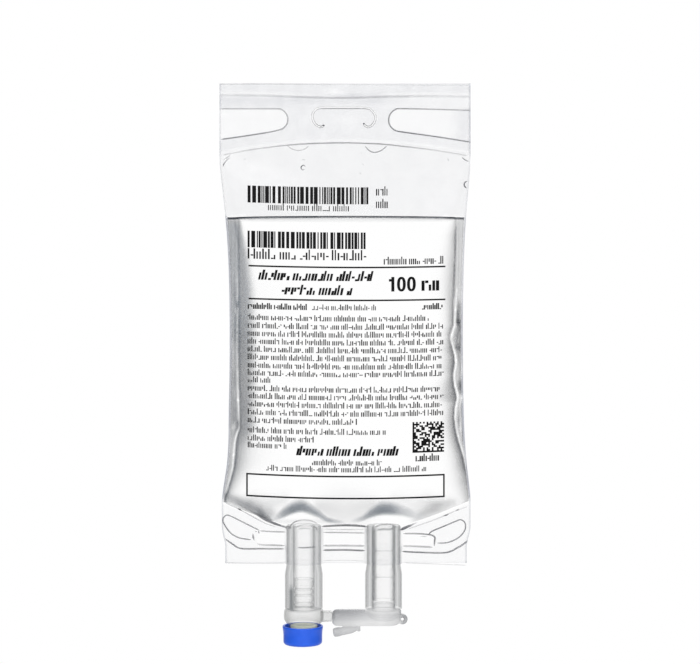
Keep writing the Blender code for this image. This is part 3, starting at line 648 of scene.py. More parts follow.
def pouch_grey(x, z, edge):
    """The pouch's film: nearly clear where wet, with a rim of painted shade varying down each side."""
    down = ZERO[1] - z / PIXEL
    rim = np.where(x < 0, np.interp(down, *LEFT_EDGE_SHADES), np.interp(down, *RIGHT_EDGE_SHADES))
    rim = rim * (1 - step((edge - 0.35) / 0.5)) * step((z + 135) / 4)
    grey = np.where(z > FILL_LINE, EMPTY_GREY, WET_GREY)
    grey = grey - np.where(z > FILL_LINE, 20.0, 30.0) * ridge(edge, 0.35)
    return grey - rim * (z < FILL_LINE)


def head_grey(x, z, edge, above_seam):
    """The head weld: greyer along its fold and beside it, lighter in the pockets and above the seam."""
    fold = from_picture(FOLD_LINE)
    above_fold = z - np.interp(x, fold[:, 0], fold[:, 1])
    to_right, to_left = step((x - 8) / 16), step((-x - 15) / 8)
    grey = np.where(above_fold > 0, HEAD_GREY_ABOVE, HEAD_GREY_BELOW)
    grey = grey + (9 - 22 * ridge(x - 1.5, 11)) * ridge(above_fold - 0.8, 0.6)
    grey = grey - 9 * (1 - to_right) * ridge(above_fold + 1.2, 1.2)
    grey = grey - 5 * to_left * ridge(above_fold + 2.8, 1.3)
    grey = grey + 4 * to_right * step((z + 0.4) / 0.5) * (above_fold < 0)
    grey = grey + 6 * ridge(x, 6) * ridge(z + 4, 2.4)
    # A painted highlight on the film above the fold, a little left of the middle.
    grey = grey + 12 * ridge(x + 3.4, 3.2) * ridge(above_fold - 1.9, 1.4)
    inside = np.maximum(window_inside(x, z, -1), window_inside(x, z, 1))
    pocket = POCKET_GREY - 14 * step((x - 34) / 7)
    grey = grey + (pocket - grey) * step(inside / POCKET_SOFT + 0.5)
    return grey + 8 * ridge(above_seam - 0.8, 0.6) - (30 + 18 * (x > 0)) * ridge(edge, 0.4)


def film_grey(x, z):
    """The screen value of white seen through the film: pouch, head, foot and the flanks of the ports."""
    share = share_of(x, z)
    edge = half_width(share, x) - np.abs(x)
    drawn = np.where(x < 0, SKIRT_DRAW_LEFT, SKIRT_DRAW_RIGHT)
    low_edge = edge - np.where(share > 0, 0, drawn * step((foot_seam(HALF_FLAT) - z - 8) / 7))
    above_seam, below = z - head_seam(x), foot_seam(x) - z
    grey = pouch_grey(x, z, edge)
    grey = grey + (head_grey(x, z, edge, above_seam) - grey) * step(above_seam / 0.4 + 0.5)
    foot = FOOT_GREY + 3.5 * step(bar_inside(x, z) / POCKET_SOFT + 0.5) - 34 * ridge(low_edge, 0.4)
    foot = foot - 8 * ridge(z - BOTTOM_EDGE, 0.4)
    grey = grey + (foot - grey) * step(below / 0.4 + 0.5)
    for centre, radius in PORTS:
        flank = np.abs(x - centre) - radius
        grey = grey - 34 * ridge(flank + 0.5, 0.3) * step((FLANK_TOP - z) / 2)
    return grey


# %% Film skin
COLUMNS, SKIRT_ROWS, POUCH_ROWS, HEAD_ROWS = 176, 44, 111, 66
INNER_LINES, INNER_EDGE, INNER_CREASE, LEAST_HALF = 61, 0.4, 0.2, 0.02
CROWDING = 0.11
s = np.linspace(-1, 1, COLUMNS + 1)[None, :]


def crowded(count):
    """Shares from 0 to 1, closer together near both seams."""
    even = np.linspace(0, 1, count)[:, None]
    return even - CROWDING * np.sin(2 * math.pi * even)


def film_rows():
    """x and z of the film's grid, from the bottom edge up: skirt, pouch and head one after another."""
    skirt = np.linspace(0, 1, SKIRT_ROWS)[:-1, None]
    draw = np.where(s < 0, SKIRT_DRAW_LEFT, SKIRT_DRAW_RIGHT) / HALF_FLAT
    skirt_x = column_x(0.0, s) * (1 - draw * step((0.62 - skirt) / 0.35))
    skirt_z = BOTTOM_EDGE + skirt * (foot_seam(skirt_x) - BOTTOM_EDGE)
    share = crowded(POUCH_ROWS)
    body_x = column_x(share, s)
    body_z = foot_seam(body_x) + share * (head_seam(body_x) - foot_seam(body_x))
    head = np.linspace(0, 1, HEAD_ROWS)[1:, None]
    head_x = column_x(1.0, s) + 0 * head
    head_z = head_seam(head_x) + head * (TOP_EDGE - head_seam(head_x))
    return np.concatenate((skirt_x, body_x, head_x)), np.concatenate((skirt_z, body_z, head_z))


def two_sheets(x, z, half):
    """Front and back sheets of one grid, joined round all four sides into a closed skin."""
    rows, columns = x.shape
    front = np.stack((x, -half, z), axis=-1)
    back = np.stack((x, half, z), axis=-1)[:, ::-1]
    around = 2 * columns
    points = np.concatenate((front, back), axis=1).reshape(-1, 3)
    faces = [grid_faces(rows, around, wrap_columns=True)]
    i = np.arange(columns - 1)
    for row in (0, rows - 1):
        cap = np.stack((i, i + 1, around - 2 - i, around - 1 - i), axis=1) + row * around
        faces.append(cap[:, ::-1] if row == 0 else cap)
    return points, faces


def sheet_marks(front, back):
    """The front's and the back's values on a grid, in the order of two_sheets."""
    return np.concatenate((front, back[:, ::-1]), axis=1).ravel()


x, z = film_rows()
points, faces = two_sheets(x, z, film_half(x, z))
wall = veil_for(film_grey(x, z), FILM_TONE)
film_skin = (points, outward(points, faces), {"veil": sheet_marks(wall, wall)})

share = crowded(INNER_LINES)
x = column_x(share, np.linspace(-1, 1, INNER_LINES)[None, :], INNER_EDGE, INNER_CREASE)
low, high = foot_seam(x) + INNER_EDGE, head_seam(x) - INNER_EDGE
half = np.maximum(pillow(share, x, INNER_EDGE, INNER_CREASE), LEAST_HALF)
points, faces = two_sheets(x, low + share * (high - low), half)
inner_skin = (points, outward(points, faces, inside_out=True), {"veil": np.zeros(len(points))})
piece("film_pouch", joined([film_skin, inner_skin]), film_material, replaces=["bag_film"])

# %% [markdown]
# ## The liquid
#
# The salt water is the pouch's own shape a little smaller, cut level at the fill line. It acts as a
# lens: at its sides it shows what lies beside the bag, which is darker than the white behind it. This
# is painted shade in its veil: heavy just inside each crease and fading towards the middle, with dark
# streaks and painted highlights as brighter streaks in the lips, a painted dark line at the fill line,
# painted shadows above the foot seam, and a cool grey arch of painted shade over the domed head of each
# port's channel. The tables give places in the picture: a crease by (x, y), a band beside it by
# height with its width and strength, and a stroke by (x, y, width, strength).

# %% Where the liquid looks dark
LEFT_CREASE = [
    (238.0, 225), (238.3, 350), (239.4, 408), (240.2, 428), (237.6, 435), (236.2, 442), (235.4, 452),
    (234.5, 462), (233.8, 468), (231.2, 478.5), (229.2, 485.5), (227.2, 492), (224.5, 497),
]
RIGHT_CREASE = [
    (456.2, 222), (455.8, 250), (454.9, 275), (453.8, 300), (453.4, 325), (450.2, 334), (449.6, 339),
    (451.8, 346), (454.2, 356), (454.6, 364), (453.2, 371), (452.8, 378), (453.8, 386), (456.0, 394),
    (456.6, 398), (454.6, 408), (454.1, 417), (455.1, 428), (458.4, 442), (462.8, 455.5), (465.0, 466),
    (467.5, 475.5), (469.2, 485), (470.4, 497),
]
LEFT_BAND = {
    "y": (222, 235, 260, 290, 350, 425, 440, 462, 480, 500),
    "width": (3, 5, 10, 13.5, 15, 13.5, 12.5, 11.5, 7, 4),
    "strength": (70, 90, 94, 96, 106, 96, 112, 118, 120, 100),
}
RIGHT_BAND = {
    "y": (222, 235, 260, 290, 310, 328, 338, 350, 366, 376, 388, 398, 404, 412, 428, 448, 468, 484, 500),
    "width": (3.5, 5.5, 7, 7.5, 5.5, 5, 4.5, 6.5, 7, 5.5, 9, 12, 7, 6, 6.5, 7, 8, 9, 7),
    "strength": (45, 70, 72, 76, 96, 100, 64, 118, 122, 104, 116, 118, 92, 104, 112, 118, 116, 94, 76),
}
# Bright streaks are painted highlights in the lips, lightened by this share of their strength; dark streaks
# are painted shade.
PAINTED_HIGHLIGHT_SHARE = 0.74
BRIGHT_STREAKS = [
    [(237.6, 268, 0.8, 0), (237.4, 278, 0.9, 42), (237.8, 290, 1.0, 58), (237.2, 299, 0.9, 50),
     (237, 304, 0.8, 0)],
    [(238.6, 306, 0.8, 0), (238.6, 309, 0.8, 40), (237.8, 314, 0.8, 22), (237.4, 322, 0.9, 34),
     (237.3, 347, 0.9, 36)],
    [(237.4, 347, 0.9, 36), (237.8, 368, 1.1, 56), (237.6, 384, 1.0, 50), (238, 390, 1.2, 74),
     (238.3, 400, 1.3, 82)],
    [(238.3, 400, 1.3, 82), (238.6, 410, 1.2, 78), (239.0, 418, 1.0, 50), (239.0, 424, 0.8, 10)],
    [(239.2, 428, 0.8, 40), (237.2, 432.5, 1.0, 72), (235.6, 438, 1.1, 74), (234.4, 445, 1.1, 68),
     (233.6, 455, 1.1, 62)],
    [(233.6, 455, 1.1, 62), (232.9, 466, 1.0, 58), (230.9, 475, 0.9, 46), (228.6, 483, 0.9, 36),
     (226.6, 490, 0.8, 22)],
    [(233, 338, 0.8, 0), (233.2, 344, 0.8, 24), (232.9, 355, 0.8, 32), (232.6, 366, 0.8, 26),
     (232.4, 372, 0.7, 0)],
    [(233.4, 424, 1.3, 0), (233.2, 427, 1.6, 48), (232.6, 431, 1.2, 10)],
    [(456.9, 285, 0.8, 0), (457, 290, 1.0, 36), (456.4, 296, 0.9, 30), (455.8, 302, 0.9, 40),
     (455.4, 310, 1.0, 60)],
    [(455.4, 310, 1.0, 60), (455.1, 318, 1.1, 66), (454.8, 325, 1.1, 66), (453.2, 330, 1.1, 60),
     (451.7, 335, 1.2, 62)],
    [(451.7, 335, 1.2, 62), (451.2, 339, 1.0, 40), (453.4, 349, 1.0, 62), (455.4, 355, 1.1, 66),
     (456, 361, 1.1, 66)],
    [(456, 361, 1.1, 66), (455.8, 367, 1.1, 62), (454.6, 372, 1.1, 62), (454.4, 378, 1.0, 56),
     (455.2, 385, 1.0, 60)],
    [(455.2, 385, 1.0, 60), (456.8, 390, 1.1, 64), (458, 395, 1.1, 66), (457.6, 400, 1.1, 56),
     (456.2, 406, 1.1, 60)],
    [(456.2, 406, 1.1, 60), (455.4, 414, 1.1, 60), (455.5, 421, 1.0, 40), (456.5, 428, 0.9, 30),
     (458.1, 436, 0.9, 34)],
    [(458.1, 436, 0.9, 34), (461.8, 449, 1.0, 46), (464.4, 458, 1.0, 46), (466.2, 468, 0.9, 42),
     (467.6, 475, 0.7, 12)],
    [(461.6, 326, 0.7, 0), (461.4, 330, 0.8, 36), (461.4, 336, 0.8, 36), (460.9, 344, 0.7, 22),
     (461, 350, 0.7, 0)],
    [(462, 370, 1.0, 0), (462.2, 374, 1.2, 28), (462, 379, 1.0, 8)],
    [(461.4, 394, 1.0, 8), (461.6, 398, 1.4, 50), (461.2, 401, 1.2, 36), (461.4, 406, 0.8, 0)],
    [(461.2, 410, 0.8, 0), (461.4, 420, 0.8, 28), (460.9, 428, 0.8, 34), (460.6, 432, 0.7, 16)],
]
DARK_STREAKS = [
    [(235.2, 312, 0.8, 0), (235.3, 318, 1.0, 42), (235.2, 326, 0.9, 38), (235.2, 336, 0.9, 36),
     (235.2, 350, 0.8, 0)],
    [(234.6, 366, 0.8, 0), (234.5, 374, 0.9, 28), (234.5, 384, 0.9, 28), (234.6, 390, 0.8, 0)],
    [(237.3, 419, 0.9, 0), (237.4, 423, 1.1, 42), (237.2, 427, 0.9, 32), (235.5, 431, 0.9, 14)],
    [(234.6, 399, 1.6, 8), (234.8, 412, 1.8, 18), (234.6, 420, 1.6, 24)],
    [(234.4, 221, 1.5, 8), (236.2, 227, 1.6, 26), (237, 236, 1.2, 22), (237.6, 243, 0.9, 16)],
    [(235.6, 280, 1.2, 0), (235.2, 290, 1.1, 16), (235.8, 300, 1.4, 26), (236.6, 305, 1.7, 34),
     (236.2, 309, 1.2, 8)],
    [(458.6, 299, 1.2, 0), (458.9, 304, 1.6, 46), (458.6, 310, 1.9, 70), (458.0, 316, 1.9, 88),
     (458.3, 322, 2.0, 92)],
    [(458.3, 322, 2.0, 92), (459.2, 327, 2.1, 84), (457.8, 333, 2.5, 66), (457.0, 340, 2.5, 60),
     (457.6, 347, 2.2, 52)],
    [(457.6, 347, 2.2, 52), (458.8, 354, 1.6, 46), (459.4, 362, 1.2, 36), (459.6, 372, 1.1, 28),
     (459.4, 378, 1.2, 22)],
    [(461.6, 318, 1.0, 0), (461.9, 325, 1.0, 44), (460.6, 333, 0.9, 44), (459.9, 342, 0.9, 54),
     (459.8, 352, 0.9, 40)],
    [(462, 335, 0.8, 0), (462, 339, 0.9, 50), (462, 346, 0.9, 44), (462, 352, 0.8, 0)],
    [(461.6, 353, 1.3, 0), (461.8, 360, 1.6, 28), (461.8, 368, 1.4, 28), (461.8, 372, 1.0, 0)],
    [(459.2, 379, 1.2, 20), (459.8, 384, 2.2, 78), (460.6, 389, 2.4, 88), (460.8, 392.5, 1.6, 56),
     (460.8, 395, 1.0, 0)],
    [(463.1, 400, 0.8, 0), (463.0, 406, 0.9, 34), (463.1, 413, 1.0, 74), (463.3, 422, 1.1, 84),
     (463.4, 432, 1.1, 84)],
    [(463.4, 432, 1.1, 84), (463.5, 439, 1.0, 58), (463.8, 444, 0.8, 0)],
    [(459.4, 405, 0.9, 0), (459, 414, 1.0, 28), (458.6, 420, 1.1, 46), (458.9, 425, 0.9, 20),
     (459.3, 429, 0.8, 0)],
    [(456.9, 224, 0.9, 0), (455.8, 232, 1.1, 40), (455.4, 250, 1.1, 46), (454.6, 272, 1.1, 44),
     (453.8, 296, 1.1, 34)],
]
FOOT_SHADOWS = [
    [(228, 497, 4, 50), (237, 501, 5, 78), (247, 506, 6, 86), (256, 510, 5.5, 78), (264, 516, 3, 80),
     (272, 521.5, 1.6, 95)],
    [(262, 512, 6, 40), (269, 514, 6, 50), (275, 516, 5, 22)],
    [(320, 507, 8, 30), (345, 512, 18, 22), (372, 506, 8, 30)],
    [(418, 517, 6, 42), (438, 506.5, 7, 66), (452, 503, 5, 34)],
    [(254, 502, 8, 24), (268, 504, 8, 24), (284, 500, 6, 18)],
    [(396, 500, 7, 12), (412, 505, 9, 17), (428, 501, 7, 20)],
]
ARCHES = (
    {
        "x": (268, 276, 284, 292, 303, 318, 328, 346),
        "edge": (520.5, 518.5, 515.5, 512, 510, 515.5, 520.5, 523),
        "thick": (4, 5, 8, 9, 9, 6, 3, 2),
        "strength": (0, 40, 92, 114, 112, 86, 74, 0),
    },
    {
        "x": (350, 362, 370, 380, 390, 402, 414, 430),
        "edge": (522, 519.5, 516, 513, 512.8, 514, 517, 520),
        "thick": (3, 4, 7, 10, 10, 9, 8, 6),
        "strength": (15, 65, 98, 116, 110, 60, 38, 0),
    },
)


# %% Bands, strokes and arches
FOOT_CHANGE_TOP, FOOT_CHANGE_LENGTH = -108, 10
# Painted shade: a dark line along the surface at the fill line, and a limit to how dark it all gets.
SURFACE_HALF, SURFACE_DARK, DARKEST = 0.78, 170, 200


def by_height(values, y_down, z):
    """A value read off against height, from its values at a few places down the picture."""
    heights = from_picture([(0, y) for y in y_down])[:, 1]
    return np.interp(-z, -heights, values)


def band(x, z, side, path, steps):
    """Painted shade beside one crease: strongest on it, fading inwards over the band's width.

    In the lip outside the crease it is nearly even, with a few narrow streaks.
    """
    crease_x, crease_y = zip(*path)
    fold = (by_height(crease_x, crease_y, z) - ZERO[0]) * PIXEL
    width = by_height(steps["width"], steps["y"], z) * PIXEL
    strength = by_height(steps["strength"], steps["y"], z)
    at_foot = step((FOOT_CHANGE_TOP - z) / FOOT_CHANGE_LENGTH)
    inside = side * (fold - x)
    u = np.clip(inside / width, 0, None)
    if side < 0:
        even = (1 - 0.32 * u) * (1 - step((u - 0.55) / 0.95)) + 0.05 * np.exp(-np.clip(u - 1, 0, None))
        fade = even + (np.exp(-1.3 * u) - even) * at_foot
    else:
        fade = np.exp(-(u**1.45))
    v = np.clip(-inside, 0, None)
    streaks = np.cos(2 * math.pi * v / 1.25 + 1.2 * np.sin(z / 9.0)) * 5
    streaks = streaks + np.cos(2 * math.pi * v / 0.75 + z / 6.0) * 3
    lip = (80 - 22 * at_foot if side < 0 else 48) + streaks
    on_fold = 22 * ridge(inside - 0.3, 0.35)
    return (np.where(inside > 0, strength * fade, lip) + on_fold) * step((FILL_LINE - z) / 1.5)


def strokes(x, z, lines):
    """Soft strokes of shade: each falls off like a bell from its path of (x, y, width, strength) places."""
    total = np.zeros_like(x)
    for line in lines:
        line = np.array(line, float)
        even = np.linspace(0, len(line) - 1, 8 * len(line))
        px, py, width, strength = (np.interp(even, np.arange(len(line)), column) for column in line.T)
        centres = from_picture(np.stack((px, py), axis=-1))
        away = np.hypot(x[..., None] - centres[:, 0], z[..., None] - centres[:, 1])
        total = total + (strength * ridge(away, width * PIXEL)).max(axis=-1)
    return total


def arches(x, z):
    """A dark arch over each port: an even shade above a curved edge, soft on top, sharp underneath."""
    px, py = x / PIXEL + ZERO[0], ZERO[1] - z / PIXEL
    total = np.zeros_like(x)
    for arch in ARCHES:
        edge = smooth_path(list(zip(arch["x"], arch["edge"])), 1.0)
        thick, strength = (np.interp(px, arch["x"], arch[name]) for name in ("thick", "strength"))
        away = np.interp(px, edge[:, 0], edge[:, 1]) - py
        over = np.exp(-((np.clip(away, 0, None) / thick) ** 4))
        total = total + strength * over * ridge(np.clip(-away, 0, None), 1.6)
    return total


def liquid_grey(x, z):
    """The screen value of white seen through the liquid, with its painted shade and highlights."""
    sides = np.where(x < 0, band(x, z, -1, LEFT_CREASE, LEFT_BAND), band(x, z, 1, RIGHT_CREASE, RIGHT_BAND))
    sides = sides + strokes(x, z, DARK_STREAKS) - PAINTED_HIGHLIGHT_SHARE * strokes(x, z, BRIGHT_STREAKS)
    surface = SURFACE_DARK * np.exp(-(((z - FILL_LINE) / SURFACE_HALF) ** 4))
    below = np.maximum(strokes(x, z, FOOT_SHADOWS), arches(x, z))
    return 255 - np.clip(sides + below + surface, 0, DARKEST)


print(len(BRIGHT_STREAKS), "bright and", len(DARK_STREAKS), "dark streaks,", len(ARCHES), "arches")

# %% Liquid body
EDGE_IN, CREASE_IN, SEAM_IN, LIP_START, THINNER = 0.6, 0.8, 0.9, 0.86, -0.3
LIQUID_ROWS, LIQUID_COLUMNS = 190, 225
u = np.linspace(0, 1, LIQUID_ROWS)[:, None]
rising = 0.55 * u + 0.45 * (0.5 - 0.5 * np.cos(math.pi * u))
s_liquid = np.linspace(-1, 1, LIQUID_COLUMNS)[None, :]
share = rising * (FILL_LINE - FOOT_SEAM) / (HEAD_SEAM - FOOT_SEAM) + 0 * s_liquid
for _ in range(4):
    x = column_x(share, s_liquid, EDGE_IN, CREASE_IN, LIP_START)
    z = foot_seam(x) + SEAM_IN + rising * (FILL_LINE - foot_seam(x) - SEAM_IN)
    share = share_of(x, z)
half = np.maximum(pillow(share, x, EDGE_IN, CREASE_IN, THINNER), LEAST_HALF)
wall = veil_for(liquid_grey(x, z), LIQUID_TONE)
# Over the last millimetre below the fill line the front is greyer and the back clearer: painted shade for
# the surface's dark line.
line = step((z - FILL_LINE + 1.2) / 0.6)
front, back = wall * (1 + 0.35 * line), wall * (1 - 0.8 * line)

# One more row, a little inside the last, turns the edge of the surface over.
edge_row = ((x, 1), (z, 1), (half, 0.93), (front, 0.04), (back, 0.04))
x, z, half, front, back = (np.concatenate((grid, grid[-1:] * change)) for grid, change in edge_row)
points, faces = two_sheets(x, z, half)
# The cool mark tints the painted shade blue: under the arches, and on the left side, more so higher up.
cast = (0.3 + 0.4 * step((z + 90) / 20)) * step(-x / 20)
cool = np.clip((step(arches(x, z) / 40) + cast) * step((FILL_LINE - z - 1.0) / 2), 0, 1)
marks = {"veil": sheet_marks(front, back), "cool": sheet_marks(cool, cool)}
liquid_body = (points, outward(points, faces), marks)

# %% Liquid in the ports
LEG_NECK, LEG_TOP, LEG_SHOULDER, LEG_TIP = -141.5, -139.5, -136.5, -134.6
legs = []
for centre, wide, narrow, end in (
    (INJECTION_X, 5.6, INJECTION_BORE - SEAT, -159.6),
    (SET_X, 5.45, 2.7, -158.95),
):
    profile = [(0.0, end), (narrow, end), (narrow, LEG_NECK), (wide, LEG_NECK), (wide, LEG_TOP)]
    profile = rounded([*profile, (wide * 0.8, LEG_SHOULDER), (0.0, LEG_TIP)], 0.6)
    legs.append(turned(profile, centre, 48, veil=lambda r, h, a: 0.0, cool=lambda r, h, a: 0.0))
piece("saline", joined([liquid_body, *legs]), liquid_material, replaces=["saline_fill"])

# %% [markdown]
# ## Weld lines
#
# Where a weld ends, a thread of molten plastic is squeezed out and sets as a thin bead. These beads
# are what draws the pockets and the seams; the same beads beside the slit are painted shade along its
# cut edges. Each is a small oval carried along a path that was measured in the picture, deep enough
# to show on both faces of the film. Its greys and widths are spread evenly along it.

# %% Beads in the welds and on the front
LINE_WIDTH, LINE_PROUD, LINE_SPACING = 0.24, 0.06, 0.35
FRONT_WIDTH, FRONT_SUNK, FRONT_PROUD, FRONT_SPACING = 0.2, 0.1, 0.12, 0.2


def spread(values, count):
    """One value, or several spaced evenly, read off at count places along a path."""
    return np.interp(np.linspace(0, 1, count), np.linspace(0, 1, np.size(values)), np.atleast_1d(values))


def weld_line(points, grey, width=LINE_WIDTH, spacing=LINE_SPACING, beside=0.0):
    """A bead along measured places, or beside them, through the film and a little proud of both faces."""
    path = smooth_path(from_picture(points), spacing)
    path = path + beside * across_path(path)
    half = film_half(path[:, 0], path[:, 1]) + LINE_PROUD
    shade, width = (spread(values, len(path)) for values in (grey, width))
    return bead(path, width, -half, half, veil_for(shade, LINE_TONE))


def on_front(points):
    """Where a mark seen in the picture lies on the bulging front.

    Nearer things look further from the middle, so the place is drawn in by its height on the bulge.
    """
    seen_at = from_picture(points)
    real = seen_at
    for _ in range(3):
        nearer = 1 - film_half(real[..., 0], real[..., 1])[..., None] / CAMERA_AWAY
        real = AIM + (seen_at - AIM) * nearer
    return np.stack((real[..., 0], -film_half(real[..., 0], real[..., 1]), real[..., 1]), axis=-1)


def front_line(points, grey, width=FRONT_WIDTH):
    """A bead along measured places on the front sheet alone, for a drop or a pucker of the pouch."""
    path = on_front(smooth_path(points, FRONT_SPACING / PIXEL))
    low_y, high_y = path[:, 1] - FRONT_PROUD, path[:, 1] + FRONT_SUNK
    return bead(path[:, [0, 2]], width, low_y, high_y, veil_for(spread(grey, len(path)), LINE_TONE))


def arc_points(centre, radius, start, stop):
    """Nine points of an arc in picture pixels; angles in degrees, clockwise from the right."""
    a = np.radians(np.linspace(start, stop, 9))
    return list(zip(centre[0] + radius * np.cos(a), centre[1] + radius * np.sin(a)))


print("beads are", 2 * LINE_WIDTH, "mm wide where no other width is given")

# %% Weld lines of the head
left_window = [(220, 108.8), (250, 108.8), (277, 108.8), *arc_points((277.3, 119.4), 10.6, -70, 70)]
left_window += [(270, 132), (245, 136), (221, 139.4)]
right_window = [(471, 110.4), (440, 109.5), (401, 108.6), *arc_points((400.0, 120.0), 11.4, 250, 110)]
right_window += [(404, 132.2), (440, 137.2), (471, 142.2)]
seam = [(223, 155), (246, 150.6), (268, 147.4), (289, 145), (315, 143.4), (344, 142.8)]
seam += [(366, 143.4), (385, 144.4), (422, 148.6), (446, 152), (467, 155.5)]
top_edge = [(219.5, 84.0), (280, 84.0), (345, 84.6), (410, 84.9), (470.5, 85.0)]
head_lines = [
    weld_line(left_window, [200, 205, 190, 150, 140]),
    weld_line(right_window, [190, 192, 168, 120, 150, 140]),
    weld_line(FOLD_LINE, [238, 232, 222, 212, 220, 232, 238], 0.42),
    weld_line(top_edge, [228, 228, 242, 238, 240], 0.2),
    weld_line(seam, [226, 222, 205, 172, 165, 172, 170, 200, 218, 226]),
]
piece("head_weld_lines", joined(head_lines), line_material)

# %% Puckers and drops below the head seal
right_pucker = [(365, 146), (369.5, 150.8), (375, 152.3), (381, 150.6), (387, 146)]
left_drop = [(305.8, 166.6), (303.2, 165.3), (301, 167.4), (302.3, 169.7), (305.2, 169.4)]
right_drop = [(467.8, 180.8), (465.2, 182.2), (464.1, 184.6), (465.3, 187.2), (467.2, 188.4)]
marks = [
    front_line(right_pucker, [190, 150, 150, 180], 0.18),
    front_line([(287, 145.5), (292, 149), (298, 150.4), (304, 149.3), (309, 146)], [225, 210, 222]),
    front_line(left_drop, [205, 140, 120, 190, 225]),
    front_line(right_drop, [205, 150, 115, 140, 200], 0.22),
    front_line([(222.9, 166.4), (224.2, 163.4), (227, 160), (230.5, 157.5)], [130, 190, 225]),
    front_line([(447.4, 158.6), (449, 161.2)], 205, 0.16),
    front_line([(301.5, 160.4), (303.4, 159.6), (305.2, 160.4)], 208, 0.14),
    front_line([(360.6, 152.2), (361.8, 153.6)], 190, 0.14),
    front_line([(362.2, 163.2), (363.6, 165.2)], 212, 0.16),
    front_line([(359, 173), (361.6, 173.6)], 218, 0.16),
    front_line([(243.8, 159.4), (246, 158.8)], 212, 0.14),
    front_line([(461.7, 157), (465, 159.8), (469, 161.6)], [205, 180, 200]),
    front_line([(230.5, 154.8), (227, 157.8), (223.6, 159.8)], [225, 205, 215]),
]
piece("puckers_and_drops", joined(marks), line_material)

# %% The hanger slit
SLIT_HALF, SLIT_EDGE, SLIT_REACH, SLIT_SPACING = 0.15, 0.13, 1.5, 0.5
SLIT_TIPS = ([(322.6, 125.9), (324.5, 124.7)], [(363.2, 122.9), (364.3, 124.7)])
slit = [
    (324.3, 124.8), (321.5, 127), (317.2, 125.6), (313.6, 121.6), (312.4, 116), (314.2, 111.4),
    (319.3, 108.0), (335, 107.8), (350, 107.8), (366.5, 108.0), (371.8, 110.6), (375.3, 116),
    (374.6, 121.4), (371.8, 125.4), (368, 127), (365.2, 125.8), (363.7, 123.4),
]
# The beads beside the slot are painted shade along its cut edges, darker on the inner edge than the outer.
edges = [
    weld_line(slit, [90, 200, 190, 120, 114, 120, 190, 200, 100], SLIT_EDGE, beside=-SLIT_HALF - SLIT_EDGE),
    weld_line(slit, [150, 205, 222, 236, 240, 236, 222, 205, 150], SLIT_EDGE, beside=SLIT_HALF + SLIT_EDGE),
]
edges += [weld_line(tip, 60, 0.3, spacing=0.07) for tip in SLIT_TIPS]
piece("hanger_slit_edge", joined(edges), line_material)


def cut_through(target, path_xz, half_width, reach):
    """Cuts a narrow C-shaped slot along Y: a Boolean takes a ribbon as wide as the slot from the film."""
    across = across_path(path_xz) * half_width
    left, right = path_xz - across, path_xz + across
    around = ((left, -reach), (right, -reach), (right, reach), (left, reach))
    points = np.stack([np.insert(side, 1, y, axis=1) for side, y in around], axis=1).reshape(-1, 3)
    last = len(points) - 1
    ends = np.array([(0, 1, 2, 3), (last, last - 1, last - 2, last - 3)])
    faces = outward(points, [grid_faces(len(path_xz), 4, wrap_columns=True), ends])
    mesh = bpy.data.meshes.new("ribbon")
    mesh.from_pydata((points * MM).tolist(), [], np.concatenate(faces).tolist())
    cutter = bpy.data.objects.new("ribbon", mesh)
    scene.collection.objects.link(cutter)
    cut = target.modifiers.new("slot", "BOOLEAN")
    cut.operation = "DIFFERENCE"
    cut.object = cutter
    result = bpy.data.meshes.new_from_object(target.evaluated_get(bpy.context.evaluated_depsgraph_get()))
    target.modifiers.clear()
    bpy.data.objects.remove(cutter)
    target.data = result


film_pouch = bpy.data.objects["film_pouch"]
before = len(film_pouch.data.polygons)
cut_through(film_pouch, smooth_path(from_picture(slit), SLIT_SPACING), SLIT_HALF, SLIT_REACH)
print("film faces before and after the slit:", before, len(film_pouch.data.polygons))

